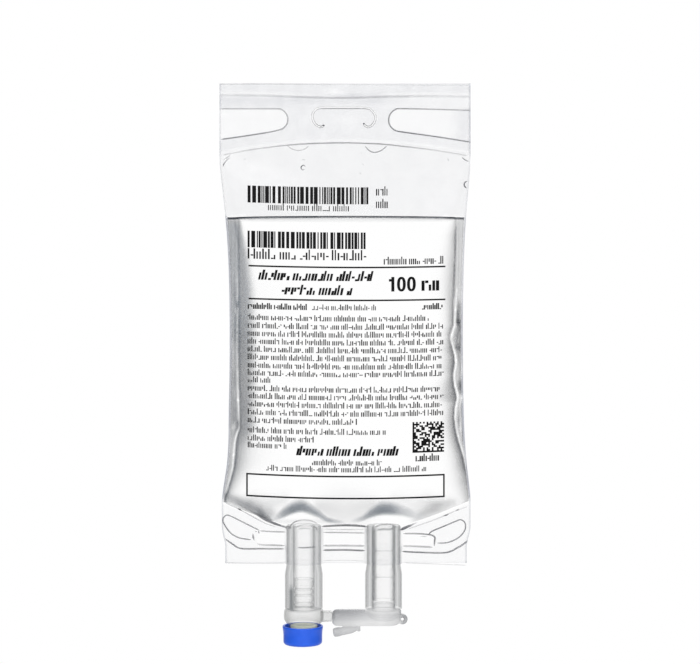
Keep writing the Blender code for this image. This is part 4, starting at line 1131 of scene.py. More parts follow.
# %% Weld lines of the foot
left_tear = [
    (259.8, 530.6), (243.5, 522.4), (228.7, 515.3), (223.7, 517.4), (222.8, 520.6), (223.7, 523.2),
    (227.8, 529.8), (233, 534.8), (240, 538), (251.5, 539.8),
]
right_tear = [
    (428, 534.4), (433, 530.8), (444, 526.2), (455.4, 521.4), (460.5, 519.7), (464.4, 522), (465.6, 526),
    (464.4, 531), (460, 536.4), (453.6, 540.4), (445.8, 542.8), (436.8, 543),
]
bar_end = [(403, 533.6), (417, 533.6), (428, 534.4), (432, 535.2), (434.8, 537.4)]
bar_end += [(434.6, 541), (434.2, 546.2)]
low_right = [(402, 551.4), (420, 552.3), (446, 552.5), (458, 547.4), (463, 544.4), (468, 540.4)]
low_left = [(224.9, 538.5), (232, 543.6), (241, 548.4), (262, 548.7), (284.6, 548.8)]
foot_lines = [
    weld_line(left_tear, [165, 160, 170, 150, 160, 170]),
    weld_line(right_tear, [130, 150, 160, 150, 150, 160]),
    weld_line([(259.8, 530.8), (272, 531.6), (286, 532)], [170, 190]),
    weld_line([(252.9, 533.4), (253.2, 537), (254.2, 540.6)], [200, 165, 190], 0.36),
    weld_line([(255.0, 531.4), (257.0, 531.6)], 140, spacing=0.2),
    weld_line([(258.5, 530.6), (259.1, 533.8)], 140, spacing=0.2),
    weld_line([(256.5, 543.8), (263, 544.9), (274, 545.2), (284.6, 545.6)], [225, 190, 190], 0.3),
    weld_line([(323, 529.2), (345, 529.6), (365, 529.2)], [235, 212, 235], 0.2),
    weld_line([(323, 532.4), (344, 532.6), (365, 533)], 186),
    weld_line([(323, 545.6), (344, 545.6), (365, 545.8)], 196, 0.34),
    weld_line(bar_end, [190, 185, 165, 150, 160, 175], 0.3),
    weld_line([(419.5, 536.2), (427.5, 536.6)], 215, 0.2),
    weld_line([(402.7, 546), (418, 546.4), (432.6, 547.2)], 190, 0.32),
    weld_line(low_left, [150, 150, 170], 0.28),
    weld_line([(323, 550.2), (344, 549.9), (365, 550.6)], [130, 140, 125], 0.33),
    weld_line(low_right, [120, 130, 150, 140, 130, 150], 0.3),
    weld_line([(226, 562.9), (256, 563.2), (286, 563)], 228, 0.18),
    weld_line([(323, 560.6), (344, 560.4), (365, 561)], 235, 0.18),
    weld_line([(404, 562.7), (436, 564), (466.6, 565.3)], 228, 0.18),
]
piece("foot_weld_lines", joined(foot_lines), line_material)

# %% The pouch's lower seam
seam_left = [
    (223.3, 498.4), (237, 503.6), (247, 508.8), (256, 513.6), (263.5, 518.2), (270.3, 521.6),
    (277.1, 524.4), (285.5, 527), (291, 528.2),
]
seam_left_shades = [242, 238, 225, 210, 180, 125, 115, 140, 150]
seam_left_widths = [0.15, 0.2, 0.25, 0.3, 0.45, 0.55, 0.45, 0.34, 0.3]
seam_middle = [(321.5, 526.4), (330, 525.9), (345, 525.2), (360, 525.8), (367.5, 526.8)]
seam_right = [(399.5, 530.2), (403, 528.8), (406.5, 527.2), (410, 525.6), (418, 522)]
second_left = [(224.8, 502.8), (237.9, 508.6), (250.5, 515.4), (265, 523.2), (275.6, 526.9)]
second_right = [(408, 529), (434, 520), (443.5, 516), (457, 510.3), (467.4, 506.6)]
seam_lines = [
    weld_line(seam_left, seam_left_shades, seam_left_widths),
    weld_line(seam_middle, [120, 140, 125, 128, 115], [0.3, 0.36, 0.42, 0.4, 0.3]),
    weld_line(seam_right, [115, 100, 130, 210, 240], [0.4, 0.5, 0.4, 0.25, 0.15]),
    weld_line(second_left, [225, 210, 200, 214, 222], 0.2),
    weld_line(second_right, [232, 222, 215, 222, 232], 0.2),
    weld_line([(237.6, 508.3), (241.8, 510.6)], 105, 0.26, spacing=0.25),
    weld_line([(443.5, 516.1), (448.8, 514.2)], 150, 0.26, spacing=0.25),
    weld_line([(456.0, 510.3), (459, 509.7)], 120, 0.3, spacing=0.25),
]
piece("pouch_lower_seam", joined(seam_lines), line_material)

# %% Lines over the tops of the ports
left_dome = [(289.5, 529), (291.5, 524.6), (296, 521.4), (303, 520.1), (311, 520.8), (317.5, 523.6)]
left_inner_dome = [(296.5, 526.4), (303, 525), (310, 525.4), (315.6, 527.4), (317.4, 531)]
right_dome = [(375, 527.6), (379, 525.2), (385, 524.6), (391, 524.8), (396.6, 527.6)]
dome_lines = [
    front_line(left_dome, [190, 180, 215, 205, 222], 0.22),
    front_line(left_inner_dome, [215, 205, 222, 190, 175]),
    front_line([(298, 529), (304, 528.5), (311, 528.9)], [222, 212, 222]),
    front_line([(297.6, 547.4), (303, 547.7), (309, 547.5), (315.6, 546.9)], [200, 165, 175, 185], 0.26),
    front_line(right_dome, [215, 195, 180, 195, 185], 0.24),
    front_line([(376.8, 529.9), (383, 529.2), (389, 529.3), (393.6, 528.2)], [195, 172, 180, 205], 0.24),
]
piece("port_dome_lines", joined(dome_lines), line_material)

# %% [markdown]
# ## Port tubes and inserts
#
# These are turned parts, so each is a profile of radius and height carried round its axis with small
# rounds at its corners. The tubes are clear and thick-walled: seen edge on, the light passes through
# much more plastic, so the sides look grey and the middle clear.

# %% Clear moulded plastic
WAVE_DEEP = 0.04


def clear_moulding(name, code, roughness, walls, bores, wave_mm=0.8):
    """Thick clear plastic: its opacity grows as its skin is seen more edge on, by steps given as a ramp.

    walls and bores are two such ramps, of (how far from face on, opacity); the bore mark chooses between
    them, and the veil mark adds to either.
    """
    material, tree, out = new_tree(name)
    spot = add(tree, "TexCoord").outputs["Object"]
    facing = add(tree, "LayerWeight", {"Blend": EDGE_BLEND}).outputs["Facing"]
    ramps = []
    for stops in (walls, bores):
        ramp = add(tree, "ValToRGB", {"Fac": facing})
        marks = ramp.color_ramp.elements
        while len(marks) < len(stops):
            marks.new(0.5)
        for mark, (place, level) in zip(marks, stops):
            mark.position = place
            mark.color = (level, level, level, 1)
        ramps.append(ramp.outputs["Color"])
    bore = add(tree, "Attribute", attribute_name="bore").outputs["Fac"]
    either = add(tree, "Mix", {"Factor": bore, "A": ramps[0], "B": ramps[1]}, data_type="RGBA").outputs[2]
    veil = add(tree, "Attribute", attribute_name="veil").outputs["Fac"]
    opacity = add(tree, "Math", {0: either, 1: veil}, operation="ADD", use_clamp=True).outputs[0]
    wave_size = {"Scale": 1 / (wave_mm * MM), "Detail": 3.0}
    wave = add(tree, "TexNoise", {"Vector": spot, **wave_size}).outputs["Fac"]
    relief = add(tree, "Bump", {"Height": wave, "Strength": 0.35, "Distance": WAVE_DEEP * MM})
    look = {"Base Color": colour(code), "Roughness": roughness, "IOR": PLASTIC_IOR, "Alpha": opacity}
    shader = add(tree, "BsdfPrincipled", {**look, "Normal": relief.outputs[0]})
    tree.links.new(shader.outputs[0], out.inputs["Surface"])
    return material


# Extruded clear polypropylene: glossy, with grey sides where the wall is seen through its length.
TUBE_WALL = [(0, 0.025), (0.10, 0.03), (0.135, 0.24), (0.20, 0.32), (0.255, 0.22), (0.34, 0.32)]
TUBE_WALL += [(0.5, 0.42), (1, 0.6)]
TUBE_BORE = [(0, 0.02), (0.09, 0.04), (0.21, 0.17), (0.33, 0.27), (0.5, 0.36), (1, 0.42)]
tube_material = clear_moulding("clear_port_tube_polypropylene", "888b8c", 0.15, TUBE_WALL, TUBE_BORE)
# Moulded natural polypropylene: a little milky and satin, so its ribs and collar show as soft greys;
# the collar's front and the grooves also carry painted shade in the veil mark.
INSERT_WALL = [(0, 0.04), (0.2, 0.07), (0.45, 0.18), (1, 0.4)]
INSERT_BORE = [(0, 0.01), (0.3, 0.03), (1, 0.12)]
insert_material = clear_moulding("natural_polypropylene_insert", "9b9c9a", 0.22, INSERT_WALL, INSERT_BORE)
# Moulded natural polyethylene: satin, and denser at its sides than the tube round it.
SPIKE_WALL = [(0, 0.005), (0.14, 0.02), (0.2, 0.13), (0.27, 0.25), (0.375, 0.36), (0.557, 0.46), (1, 0.5)]
SPIKE_BORE = [(0, 0.0), (0.4, 0.01), (1, 0.10)]
spike_material = clear_moulding("natural_polyethylene_spike_sleeve", "8b8d8e", 0.2, SPIKE_WALL, SPIKE_BORE)
print("three clear mouldings, with", len(TUBE_WALL), len(INSERT_WALL), len(SPIKE_WALL), "steps")

# %% Tubes
SHOULDER, TAPER = BOTTOM_EDGE - 0.6, 3.0
TUBE_HEIGHTS = (PORT_END, -168.0, -164.0, -161.0, SHOULDER - TAPER)
STREAK_TURN, STREAK_WIDTH, STREAK_TOP = math.radians(-130), 0.17, -160.5


def port_tube(radius, bore):
    """A tube's profile: slimmer by one step where the film is welded round it."""
    weld = radius - WELD_STEP
    outer = [(radius, height) for height in TUBE_HEIGHTS]
    return ring_profile([(bore, PORT_END), *outer, (weld, SHOULDER), (weld, PORT_TOP), (bore, PORT_TOP)])


def tube(radius, bore, centre, streak, end_veil):
    """A port tube with its bore marked, and an upright streak of painted shade by the insert's ribs.

    Its end face is moulded smooth and shows less than the ramp would give it.
    """

    def veil(r, h, a):
        dark = streak * ridge(a - STREAK_TURN, STREAK_WIDTH) * step((STREAK_TOP - h) / 3) * (r > radius - 1)
        return dark + end_veil * (h < PORT_END + 0.15)

    return turned(port_tube(radius, bore), centre, bore=lambda r, h, a: r < bore + 0.3, veil=veil)


injection_tube = tube(INJECTION_RADIUS, INJECTION_BORE, INJECTION_X, 0.75, -0.1)
piece("injection_tube", injection_tube, tube_material, replaces=["injection_port_tube"])
set_tube = tube(SET_RADIUS, SET_BORE, SET_X, 0.0, -0.4)
piece("set_tube", set_tube, tube_material, replaces=["set_port_tube"])

# %% Injection insert
SLEEVE_OUT, SLEEVE_IN, SLEEVE_HIGH = INJECTION_BORE - SEAT, INJECTION_BORE - 1.5, -159.9
COLLAR_R, COLLAR_TOP, COLLAR_BOTTOM = 6.6, -170.5, -175.2
BULGE_TOP, BULGE_LOW = -172.4, -173.8
NECK_R, NECK_IN, NECK_END = 5.1, 4.7, -180.7
CEILING = COLLAR_BOTTOM + 1.2
GROOVES, GROOVE_HALF, GROOVE_DEEP, GROOVE_FLARE = (-163.3, -165.4, -168.0, -169.7), 0.36, 0.5, 0.2
groove_foot = SLEEVE_OUT - GROOVE_DEEP
ribs = []
for middle in GROOVES:
    top, low = middle + GROOVE_HALF, middle - GROOVE_HALF
    ribs += [(SLEEVE_OUT, top + GROOVE_FLARE), (groove_foot, top), (groove_foot, low)]
    ribs += [(SLEEVE_OUT, low - GROOVE_FLARE)]
insert_corners = [
    (SLEEVE_IN, CEILING), (SLEEVE_IN, SLEEVE_HIGH), (SLEEVE_OUT, SLEEVE_HIGH), *ribs,
    (SLEEVE_OUT, COLLAR_TOP), (COLLAR_R, COLLAR_TOP), (COLLAR_R + 0.2, BULGE_TOP),
    (COLLAR_R + 0.1, BULGE_LOW), (COLLAR_R - 0.7, COLLAR_BOTTOM + 0.2), (NECK_R, COLLAR_BOTTOM),
    (NECK_R, NECK_END), (NECK_IN, NECK_END), (NECK_IN, CEILING),
]


def squared(angle, power):
    """Cosine and sine drawn out from a circle to a squared one: |x|^p + |y|^p = 1."""
    x, y = np.cos(angle), np.sin(angle)
    size = (np.abs(x) ** power + np.abs(y) ** power) ** (-1 / power)
    return x * size, y * size


def block(x, low, high, half_y, steps=24):
    """A bar along X with rounded edges and smaller ends: a squared oval carried along it."""
    x, low, high = (np.asarray(v, float) for v in (x, low, high))
    ca, sa = squared(np.arange(steps) / steps * 2 * math.pi, 6.0)
    shrink = np.ones(len(x))
    shrink[[0, -1]] = 0.8
    y = half_y * ca * shrink[:, None]
    z = ((low + high) / 2)[:, None] + ((high - low) / 2 * shrink)[:, None] * sa
    points = np.stack((np.broadcast_to(x[:, None], y.shape), y, z), axis=-1).reshape(-1, 3)
    last = (len(x) - 1) * steps
    faces = [grid_faces(len(x), steps, wrap_columns=True)]
    faces += end_fans(steps, last, len(points), len(points) + 1)
    tips = [(x[0], 0, points[:steps, 2].mean()), (x[-1], 0, points[last:, 2].mean())]
    points = np.concatenate((points, tips))
    return points, outward(points, faces)


def insert_veil(r, h, a):
    """The collar is a thick milky ring, densest at its foot. Painted shade darkens the two sides of its
    front and a strip at its front left, and marks the front of each groove as a dark line.
    """
    sides = 0.12 * step((np.abs(np.cos(a)) - 0.4) / 0.4) * (a < 0)
    collar = 0.12 + 0.12 * step((-172.8 - h) / 2.0) + 0.10 * ridge(a + math.radians(145), 0.35) + sides
    body = np.where(r > NECK_R + 0.1, collar, 0.03) * (h < COLLAR_TOP + 0.1)
    grooved = (np.abs(r - groove_foot) < 0.15) * (a < 0) * (h > COLLAR_TOP)
    ceiling = (r < NECK_IN + 0.3) * (r > SLEEVE_IN - 0.3) * (np.abs(h - CEILING) < 0.3)
    return body + 0.15 * grooved - 0.3 * ceiling


LUG_TOP, LUG_FOOT, LUG_DEEP = -171.0, -174.7, 1.5
lug_x = [-8.3, -8.2, -6.4, -5.0, -4.60, -4.48]
lug_feet = [LUG_FOOT, LUG_FOOT, -174.5, -174.45, -174.5, -174.45]
lug_points, lug_faces = block(lug_x, lug_feet, [LUG_TOP] * len(lug_x), LUG_DEEP)
lug_z = lug_points[:, 2]
lug_veil = 0.18 + 0.4 * ridge(lug_z - LUG_TOP, 0.5) + 0.12 * ridge(lug_z - LUG_FOOT, 0.4)
lug = (lug_points, lug_faces, {"veil": lug_veil, "bore": np.zeros(len(lug_z))})
sleeve_and_collar = turned(
    ring_profile(insert_corners, 0.22),
    INJECTION_X,
    veil=insert_veil,
    bore=lambda r, h, a: r < SLEEVE_IN + 0.2,
)
insert_part = joined([sleeve_and_collar, lug])
piece("injection_insert", insert_part, insert_material, replaces=["injection_port_insert"])

# %% Set insert
SET_SLEEVE, SET_INSERT_IN = SET_BORE - SEAT, SET_BORE - 1.05
SET_INSERT_TOP, SET_INSERT_END = -143.2, -167.2
MEMBRANE_TOP, MEMBRANE_LOW = -159.25, -159.75
SET_GROOVE = SET_SLEEVE - 0.25
set_corners = [(0.0, MEMBRANE_TOP), (SET_INSERT_IN, MEMBRANE_TOP), (SET_INSERT_IN, SET_INSERT_TOP)]
set_corners += [(SET_GROOVE, SET_INSERT_TOP), (SET_SLEEVE, SET_INSERT_TOP - 0.25)]
for middle in (-150.6, -159.5):
    for radius, above in ((SET_SLEEVE, 0.6), (SET_GROOVE, 0.36), (SET_GROOVE, -0.36), (SET_SLEEVE, -0.6)):
        set_corners.append((radius, middle + above))
set_corners += [(SET_SLEEVE, SET_INSERT_END), (SET_INSERT_IN, SET_INSERT_END)]
set_corners += [(SET_INSERT_IN, MEMBRANE_LOW), (0.0, MEMBRANE_LOW)]
set_insert = turned(
    rounded(set_corners, 0.12),
    SET_X,
    veil=lambda r, h, a: -0.2 * step((np.cos(a) - 0.3) / 0.4),
    bore=lambda r, h, a: r < SET_INSERT_IN + 0.1,
)
piece("set_insert", set_insert, spike_material, replaces=["set_port_insert"])

# %% [markdown]
# ## Stopper and cap
#
# The stopper is moulded isoprene rubber: dull and pale grey-green, with a faint bloom. The cap is blue
# polypropylene: an open cup with a thicker rim, satin and opaque, with the very fine ripple that a
# mould leaves.

# %% Stopper
MOTTLE_MM = 3.0


def moulded(name, code, dark, roughness, grain_mm, grain_deep, ior=PLASTIC_IOR):
    """A moulded solid: colour mottled between two shades, and a fine grain of its real size in relief."""
    material, tree, out = new_tree(name)
    spot = add(tree, "TexCoord").outputs["Object"]
    cloud_size = {"Scale": 1 / (MOTTLE_MM * MM), "Detail": 3.0}
    cloud = add(tree, "TexNoise", {"Vector": spot, **cloud_size}).outputs["Fac"]
    tint = add(tree, "Mix", {"Factor": cloud, "A": colour(dark), "B": colour(code)}, data_type="RGBA")
    grain_size = {"Scale": 1 / (grain_mm * MM), "Detail": 2.0}
    grain = add(tree, "TexNoise", {"Vector": spot, **grain_size}).outputs["Fac"]
    relief = add(tree, "Bump", {"Height": grain, "Strength": 0.5, "Distance": grain_deep * MM})
    about = {"To Min": roughness - 0.06, "To Max": roughness + 0.06}
    dull = add(tree, "MapRange", {"Value": grain, **about})
    look = {"Base Color": tint.outputs[2], "Roughness": dull.outputs[0], "IOR": ior}
    shader = add(tree, "BsdfPrincipled", {**look, "Normal": relief.outputs[0]})
    tree.links.new(shader.outputs[0], out.inputs["Surface"])
    return material


# Moulded rubber: dull all over, so it shows no highlight beside the shining cap.
rubber = moulded("isoprene_stopper_rubber", "dce0cd", "d0d6c0", 0.6, 0.25, 0.02)
PLUG_TOP, PLUG_STEP, PLUG_END = -175.6, -180.7, -181.5
plug = [(0.0, PLUG_TOP), (4.3, PLUG_TOP), (4.6, PLUG_TOP - 0.3), (4.6, PLUG_STEP), (2.3, PLUG_STEP)]
plug += [(2.3, PLUG_END), (0.0, PLUG_END)]
piece("stopper", turned(rounded(plug, 0.25), INJECTION_X), rubber, replaces=["injection_septum"])

# %% Cap
# Moulded polypropylene with a satin skin: its highlights are soft and upright, as the mould left it.
blue = moulded("blue_polypropylene_cap", "1760e4", "0e50d0", 0.36, 0.3, 0.012)
CAP_IN, CAP_OUT, CAP_RIM, CAP_TOP, CAP_HOLE = 5.75, 6.6, 6.9, -175.9, 2.6
CAP_FLOOR, CAP_FOOT = -181.2, -182.3
CAP_X = INJECTION_X - 0.35
cap_corners = [
    (CAP_HOLE, CAP_FLOOR), (CAP_IN, CAP_FLOOR), (CAP_IN, CAP_TOP - 1.5), (CAP_IN + 0.45, CAP_TOP - 0.35),
    (CAP_IN + 0.5, CAP_TOP), (CAP_RIM - 0.1, CAP_TOP), (CAP_RIM, CAP_TOP - 0.4),
    (CAP_RIM - 0.05, CAP_TOP - 0.8), (CAP_OUT + 0.08, CAP_TOP - 1.9), (CAP_OUT, CAP_TOP - 3.0),
    (CAP_OUT, CAP_FLOOR), (CAP_OUT - 0.15, CAP_FOOT + 0.5), (CAP_OUT - 0.6, CAP_FOOT + 0.1),
    (CAP_HOLE, CAP_FOOT),
]
cap = turned(ring_profile(cap_corners, 0.2), CAP_X)
piece("injection_cap_blue", cap, blue, replaces=["injection_cap"])

# %% [markdown]
# ## The break-off closure
#
# One moulding in milky polypropylene: a head whose spigot closes the tube, a round arm across it, a
# small eye at one end and a pin that hangs on a thin stem. Its parts flow into each other, so they are
# made as separate closed forms, merged by a fine voxel remesh, and smoothed, which leaves fillets.


# %% Forms of the closure
def laid(part, place, tilt=0.0):
    """A turned part laid along X: its height runs to the right, raised by tilt about its own foot."""
    points, faces, marks = part
    h, r, y = points[:, 2], points[:, 0], points[:, 1]
    x = h * math.cos(tilt) - r * math.sin(tilt) + place[0]
    z = h * math.sin(tilt) + r * math.cos(tilt) + place[2]
    points = np.stack((x, y + place[1], z), axis=1)
    return points, outward(points, faces), marks


def eyelet(centre, radius, half_wall, half_deep, steps=40, around=16):
    """A flat ring in the plane of the arm: a squared oval carried round a circle."""
    a = np.arange(steps)[:, None] / steps * 2 * math.pi
    out, deep = squared(np.arange(around)[None, :] / around * 2 * math.pi, 3)
    r = radius + half_wall * out
    y = half_deep * deep + 0 * a
    ring = (centre[0] + r * np.cos(a), centre[1] + y, centre[2] + r * np.sin(a))
    points = np.stack(ring, axis=-1).reshape(-1, 3)
    faces = [grid_faces(steps, around, wrap_rows=True, wrap_columns=True)]
    return points, outward(points, faces), {}


def fused(part, voxel, smooth_steps):
    """The closed forms of a part merged into one skin by a voxel remesh, then smoothed."""
    points, faces, _ = part
    mesh = bpy.data.meshes.new("forms")
    mesh.from_pydata(points.tolist(), [], [face for group in faces for face in group.tolist()])
    forms = bpy.data.objects.new("forms", mesh)
    scene.collection.objects.link(forms)
    merge = forms.modifiers.new("merge", "REMESH")
    merge.mode = "VOXEL"
    merge.voxel_size = voxel
    soften = forms.modifiers.new("soften", "SMOOTH")
    soften.iterations = smooth_steps
    result = forms.evaluated_get(bpy.context.evaluated_depsgraph_get()).to_mesh()
    co = np.empty(len(result.vertices) * 3, np.float32)
    result.vertices.foreach_get("co", co)
    index = np.empty(len(result.loops), np.int32)
    result.loops.foreach_get("vertex_index", index)
    sizes = np.empty(len(result.polygons), np.int32)
    result.polygons.foreach_get("loop_total", sizes)
    first = np.cumsum(sizes) - sizes
    groups = [index[first[sizes == k][:, None] + np.arange(k)] for k in np.unique(sizes)]
    bpy.data.objects.remove(forms)
    return co.reshape(-1, 3).astype(float), groups


ARM_R, ARM_LEFT, ARM_RIGHT, ARM_Z = 2.85, -4.4, 18.6, -173.25
HEAD_R, HEAD_TOP = SET_RADIUS - 0.25, PORT_END - 0.35
SPIGOT_TOP, PIN_TILT = -168.3, math.radians(10)
PIN_X, PIN_Z, STEM_X = -4.04, -178.4, 4.7
VOXEL_MM, SMOOTH_STEPS = 0.16, 4
head = [
    (0.0, ARM_Z - 1.0), (HEAD_R - 2.0, ARM_Z - 0.6), (HEAD_R - 0.7, ARM_Z + 0.4), (HEAD_R, PORT_END - 1.9),
    (HEAD_R, HEAD_TOP), (SET_SLEEVE, HEAD_TOP), (SET_SLEEVE, SPIGOT_TOP - 0.4),
    (SET_SLEEVE - 0.4, SPIGOT_TOP), (0.0, SPIGOT_TOP),
]
arm_middle, arm_half = (ARM_RIGHT + ARM_LEFT) / 2, (ARM_RIGHT - ARM_LEFT) / 2
arm = [
    (0.0, -arm_half), (ARM_R - 1.0, -arm_half + 0.05), (ARM_R - 0.15, -arm_half + 0.9),
    (ARM_R, -arm_half + 2.2), (ARM_R, arm_half - 3.0), (ARM_R - 0.25, arm_half - 1.2),
    (ARM_R - 1.0, arm_half), (0.0, arm_half),
]
pin = [
    (0.0, 0.0), (1.2, 0.05), (1.5, 0.5), (1.55, 2.3), (1.34, 2.9), (1.4, 3.5), (1.3, 6.2), (1.0, 7.4),
    (0.6, 8.2), (0.5, 9.2), (0.0, 9.3),
]
stem = [(0.0, -178.0), (0.55, -177.9), (0.5, -175.9), (0.6, -175.0), (0.0, -174.8)]
forms = [
    turned(rounded(head, 0.3), SET_X, 72),
    laid(turned(rounded(arm, 0.4), 0.0, 64), (arm_middle, 0, ARM_Z)),
    eyelet((ARM_RIGHT + 0.9, 0, ARM_Z - 0.5), 1.15, 0.62, 1.0),
    laid(turned(rounded(pin, 0.25), 0.0, 40), (PIN_X, 0, PIN_Z), PIN_TILT),
    turned(rounded(stem, 0.2), STEM_X, 24),
]
closure_points, closure_faces = fused(joined(forms), VOXEL_MM, SMOOTH_STEPS)
print(len(forms), "forms fused into", len(closure_points), "points")

# %% Closure
CLOSURE_TONE, SPIGOT_GREY, PIN_GREY = 0.56, 242, 196
ARM_SHADES = ((333, 338, 350, 360, 370, 380, 392, 400, 403), (170, 178, 184, 194, 208, 221, 212, 203, 172))
ACROSS_SHADES = ((-1.0, -0.75, -0.3, 0.0, 0.5, 1.0), (42, 42, 26, 2, -4, -12))


def closure_grey(points):
    """The screen value of white behind the closure: painted shade, darkest along the arm's top and left.

    It is clear in the spigot, and even in the pin and its stem.
    """
    x, z = points[:, 0], points[:, 2]
    arm_grey = np.interp(x / PIXEL + ZERO[0], *ARM_SHADES)
    up = (z - ARM_Z) / ARM_R
    arm_grey = arm_grey + np.interp(up, *ACROSS_SHADES) * (1 - 0.6 * step((x - 4) / 8))
    spigot = np.where(x > SET_X - HEAD_R - 0.3, step((z + 171.8) / 1.6), 0) * (x < ARM_RIGHT - 0.4)
    pin_and_stem = z < ARM_Z - ARM_R - 0.15
    grey = arm_grey + (SPIGOT_GREY - arm_grey) * spigot
    return np.where(pin_and_stem, PIN_GREY + 10 * step((x + 3) / 3), grey)


# Milky moulded polypropylene: dull and half clear, so it reads by how much plastic is behind the skin;
# over that, painted shade in the veil mark darkens the arm's top and left.
CLOSURE_WALL = [(0, 0.0), (0.3, 0.03), (0.55, 0.10), (1, 0.35)]
closure_look = ("milky_polypropylene_closure", "828488", 0.3, CLOSURE_WALL, CLOSURE_WALL)
closure_material = clear_moulding(*closure_look, wave_mm=0.5)
closure_marks = {"veil": veil_for(closure_grey(closure_points), CLOSURE_TONE)}
closure = (closure_points, closure_faces, closure_marks)
piece("closure", closure, closure_material, body="closure", replaces=["twist_off_closure"])

# %% [markdown]
# ## Print
#
# The label is printed straight on the front film in one dark ink: two bar codes, rules, small type, a
# square code and a frame. Its words are not lettered here: type is made of small generic strokes, and
# the codes are seeded random bars that say nothing. Each mark is a thin slab of ink between two edges,
# laid on the front sheet by the pouch's own formula.

# %% Ink on the front sheet
INK_SUNK, INK_PROUD, INK_SPREAD = 0.03, 0.05, 0.12
SEED = 7
random = np.random.default_rng(SEED)


def ink(lower, upper):
    """Slabs of ink between two edges: arrays of (slabs, points, 2) picture places, closed at both ends."""
    a, b = on_front(lower), on_front(upper)
    sunk, proud = np.array((0, INK_SUNK, 0)), np.array((0, -INK_PROUD, 0))
    hoops = np.stack((a + sunk, b + sunk, b + proud, a + proud), axis=2)
    slabs, count = hoops.shape[:2]
    ends = np.array([(0, 3, 2, 1)]), np.array([(0, 1, 2, 3)]) + (count - 1) * 4
    one = np.concatenate((grid_faces(count, 4, wrap_columns=True), *ends))
    faces = (one[None] + (np.arange(slabs) * count * 4)[:, None, None]).reshape(-1, 4)
    points = hoops.reshape(-1, 3)
    return points, outward(points, [faces]), {}


def sag(x, y):
    """How far the print hangs below a straight line: most in the middle, and a little more to the right."""
    return (1.5 + np.clip(y - 300, 0, None) * 0.006) * (1 - ((x - 347) / 99) ** 2) + 0.8 * (x - 248) / 198


def boxes(x0, x1, y_top, y_bottom, slant=0.0, across=2):
    """Upright marks between places in the picture, leaning by slant and hung on the print's sag."""
    x0, x1, y_top, y_bottom = (np.atleast_1d(np.asarray(v, float)) for v in (x0, x1, y_top, y_bottom))
    x0, x1, y_top, y_bottom = (v[:, None] for v in np.broadcast_arrays(x0, x1, y_top, y_bottom))
    x = x0 + (x1 - x0) * np.linspace(0, 1, across)[None, :]
    middle = (y_top + y_bottom) / 2
    edges = []
    for y in (y_bottom + 0 * x, y_top + 0 * x):
        edges.append(np.stack((x + slant * (middle - y), y + sag(x, y)), axis=-1))
    return ink(*edges)


def type_line(x0, x1, y, tall, pitch, stroke, slant=0.0):
    """A line of greeked type: separate strokes in words, which form no letters.

    y is the middle of a small letter, tall its height, and pitch the step from stroke to stroke. Most
    strokes are upright; some reach higher, some are half as tall, and some lie flat.
    """
    count = int((x1 - x0) / pitch)
    left = x0 + np.arange(count) * pitch
    shown = ~np.isin(np.arange(count), np.cumsum(random.integers(5, 16, count)))
    kind, lower = random.random(count), random.random(count) < 0.5
    wide = stroke * random.uniform(0.85, 1.2, count)
    top, foot = np.full(count, y - tall / 2), np.full(count, y + tall / 2)
    top = np.where(kind < 0.2, top - 0.4 * tall, top)
    half_tall, flat = (kind > 0.55) & (kind < 0.7), kind > 0.86
    top = np.where(half_tall & lower, y - 0.1 * tall, top)
    foot = np.where(half_tall & ~lower, y + 0.1 * tall, foot)
    level = y + random.choice((-0.38, 0.0, 0.38), count) * tall
    wide = np.where(flat, pitch * 0.92, wide)
    top = np.where(flat, level - stroke * 0.45, top)
    foot = np.where(flat, level + stroke * 0.45, foot)
    return boxes(left[shown], (left + wide)[shown], top[shown], foot[shown], slant)


def bar_code(x0, x1, y_top, y_bottom, module):
    """Seeded random bars of one to four modules, with gaps of one to three."""
    bars = random.choice((1, 2, 3, 4), size=200, p=(0.32, 0.3, 0.23, 0.15)) * module
    gaps = random.choice((1, 2, 3), size=200, p=(0.64, 0.28, 0.08)) * module
    starts = x0 + np.concatenate(([0], np.cumsum(bars + gaps)[:-1]))
    keep = starts + bars <= x1 + 0.5 * module
    return boxes(starts[keep] - INK_SPREAD, (starts + bars)[keep] + INK_SPREAD, y_top, y_bottom)


# %% Codes and rules
# Ink soaks into the film: it is nearly black and dull, and reflects less than bare plastic does.
ink_material = moulded("black_print_ink", "0b0b0d", "050506", 0.6, 0.4, 0.004, ior=1.2)
PRINT_LEFT, PRINT_RIGHT, MODULE = 247.7, 445.4, 0.92
codes = [
    bar_code(PRINT_LEFT, 367.9, 185.4, 202.4, MODULE),
    bar_code(PRINT_LEFT, 367.6, 230.6, 247.2, MODULE),
]
piece("bar_codes", joined(codes), ink_material)
RULE = 1.6
FRAME_LEFT, FRAME_RIGHT, FRAME_TOP, FRAME_FOOT = 246.2, 443.1, 473.7, 495.5
level_rules = [(248.5, PRINT_RIGHT, y) for y in (265.6, 298.5)]
level_rules += [(FRAME_LEFT, FRAME_RIGHT + RULE, y) for y in (FRAME_TOP, FRAME_FOOT)]
rules = [boxes(x0, x1, y - RULE / 2, y + RULE / 2, across=60) for x0, x1, y in level_rules]
rules += [boxes(x, x + RULE, FRAME_TOP, FRAME_FOOT) for x in (FRAME_LEFT, FRAME_RIGHT)]
piece("rules_and_frame", joined(rules), ink_material)

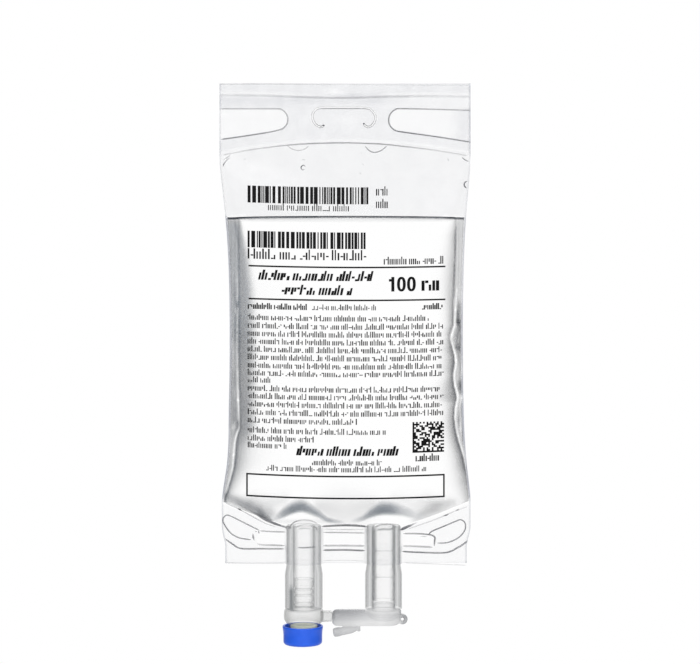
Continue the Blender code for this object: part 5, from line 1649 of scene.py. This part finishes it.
# %% Square code
CELLS, SQUARE_LEFT, SQUARE_TOP, SQUARE_TALL, SQUARE_WIDER = 18, 412.5, 420.2, 30.6, 1.03
CELL_FILL = 1.02
cell = SQUARE_TALL / CELLS
filled = random.random((CELLS, CELLS)) < 0.54
filled[:, 0] = filled[-1, :] = True
filled[0, :] = np.arange(CELLS) % 2 == 0
filled[:, -1] = np.arange(CELLS) % 2 == 1
rows, columns = np.nonzero(filled)
cell_x = [SQUARE_LEFT + place * cell * SQUARE_WIDER for place in (columns, columns + CELL_FILL)]
cell_y = [SQUARE_TOP + place * cell for place in (rows, rows + CELL_FILL)]
piece("square_code", boxes(*cell_x, *cell_y), ink_material)

# %% Headings and the volume mark
SLANT = 0.22
headings = [
    type_line(258.8, 377.2, 275.6, 7.2, 3.1, 2.3, SLANT),
    type_line(281.7, 355.4, 289.8, 7.2, 3.1, 2.3, SLANT),
    type_line(296.7, 403.0, 449.8, 6.8, 3.0, 2.2, SLANT),
]
piece("headings", joined(headings), ink_material)


def oval(centre, wide, tall, stroke):
    """The figure nought: a strip between two squared ovals, thinner at its top and foot."""
    x_shape, y_shape = squared(np.linspace(0, 2 * math.pi, 33), 2.4)
    edges = []
    for w, h in ((wide / 2, tall / 2), (wide / 2 - stroke, tall / 2 - stroke * 0.8)):
        x, y = centre[0] + w * x_shape, centre[1] + h * y_shape
        edges.append(np.stack((x, y + sag(x, y)), axis=-1)[None])
    return ink(*edges)


volume_mark = [
    boxes([391.3], [394.4], 275.2, 289.8),
    boxes([388.9], [391.3], 277.3, 279.8),
    oval((401.4, 282.5), 8.8, 14.7, 3.0),
    oval((411.4, 282.5), 8.8, 14.7, 3.0),
    type_line(421.5, 443.6, 284.4, 10.2, 3.6, 2.9),
]
piece("volume_mark", joined(volume_mark), ink_material)

# %% Small type
SMALL_LINES = (
    (268.0, 350.0, 206.9, 5.2, 2.1, 0.95),
    (376.0, 389.0, 190.4, 6.6, 2.1, 1.1),
    (376.0, 389.0, 203.0, 6.6, 2.1, 1.1),
    (PRINT_LEFT, 369.0, 254.8, 7.4, 2.9, 1.5),
    (383.7, PRINT_RIGHT, 260.0, 5.6, 1.95, 1.15),
    (PRINT_LEFT, 308.0, 306.4, 4.4, 1.75, 1.25),
    (312.0, 377.5, 306.4, 4.1, 1.75, 0.95),
    (422.0, 443.5, 306.0, 4.4, 1.75, 1.25),
    (415.5, 440.5, 456.8, 5.4, 2.0, 1.35),
    (312.0, 382.0, 460.6, 4.2, 1.75, 0.95),
    (266.0, 428.0, 467.4, 4.2, 1.75, 0.95),
)
LINE_ENDS = (
    (317.9, 429.5), (326.1, 444), (334.0, 443), (341.8, 444.5), (349.6, 444), (357.6, 443.5),
    (365.7, 443), (373.3, 444.2), (380.4, 271.8), (388.7, 443.5), (396.4, 444), (404.4, 443),
    (412.5, 444.2), (420.6, 358.4), (430.6, 386.7), (438.6, 315), (445.7, 288.7),
)
lines = [type_line(*line) for line in SMALL_LINES]
lines += [type_line(PRINT_LEFT, end, y - 0.5, 4.3, 1.8, 1.0) for y, end in LINE_ENDS]
piece("small_type", joined(lines), ink_material)
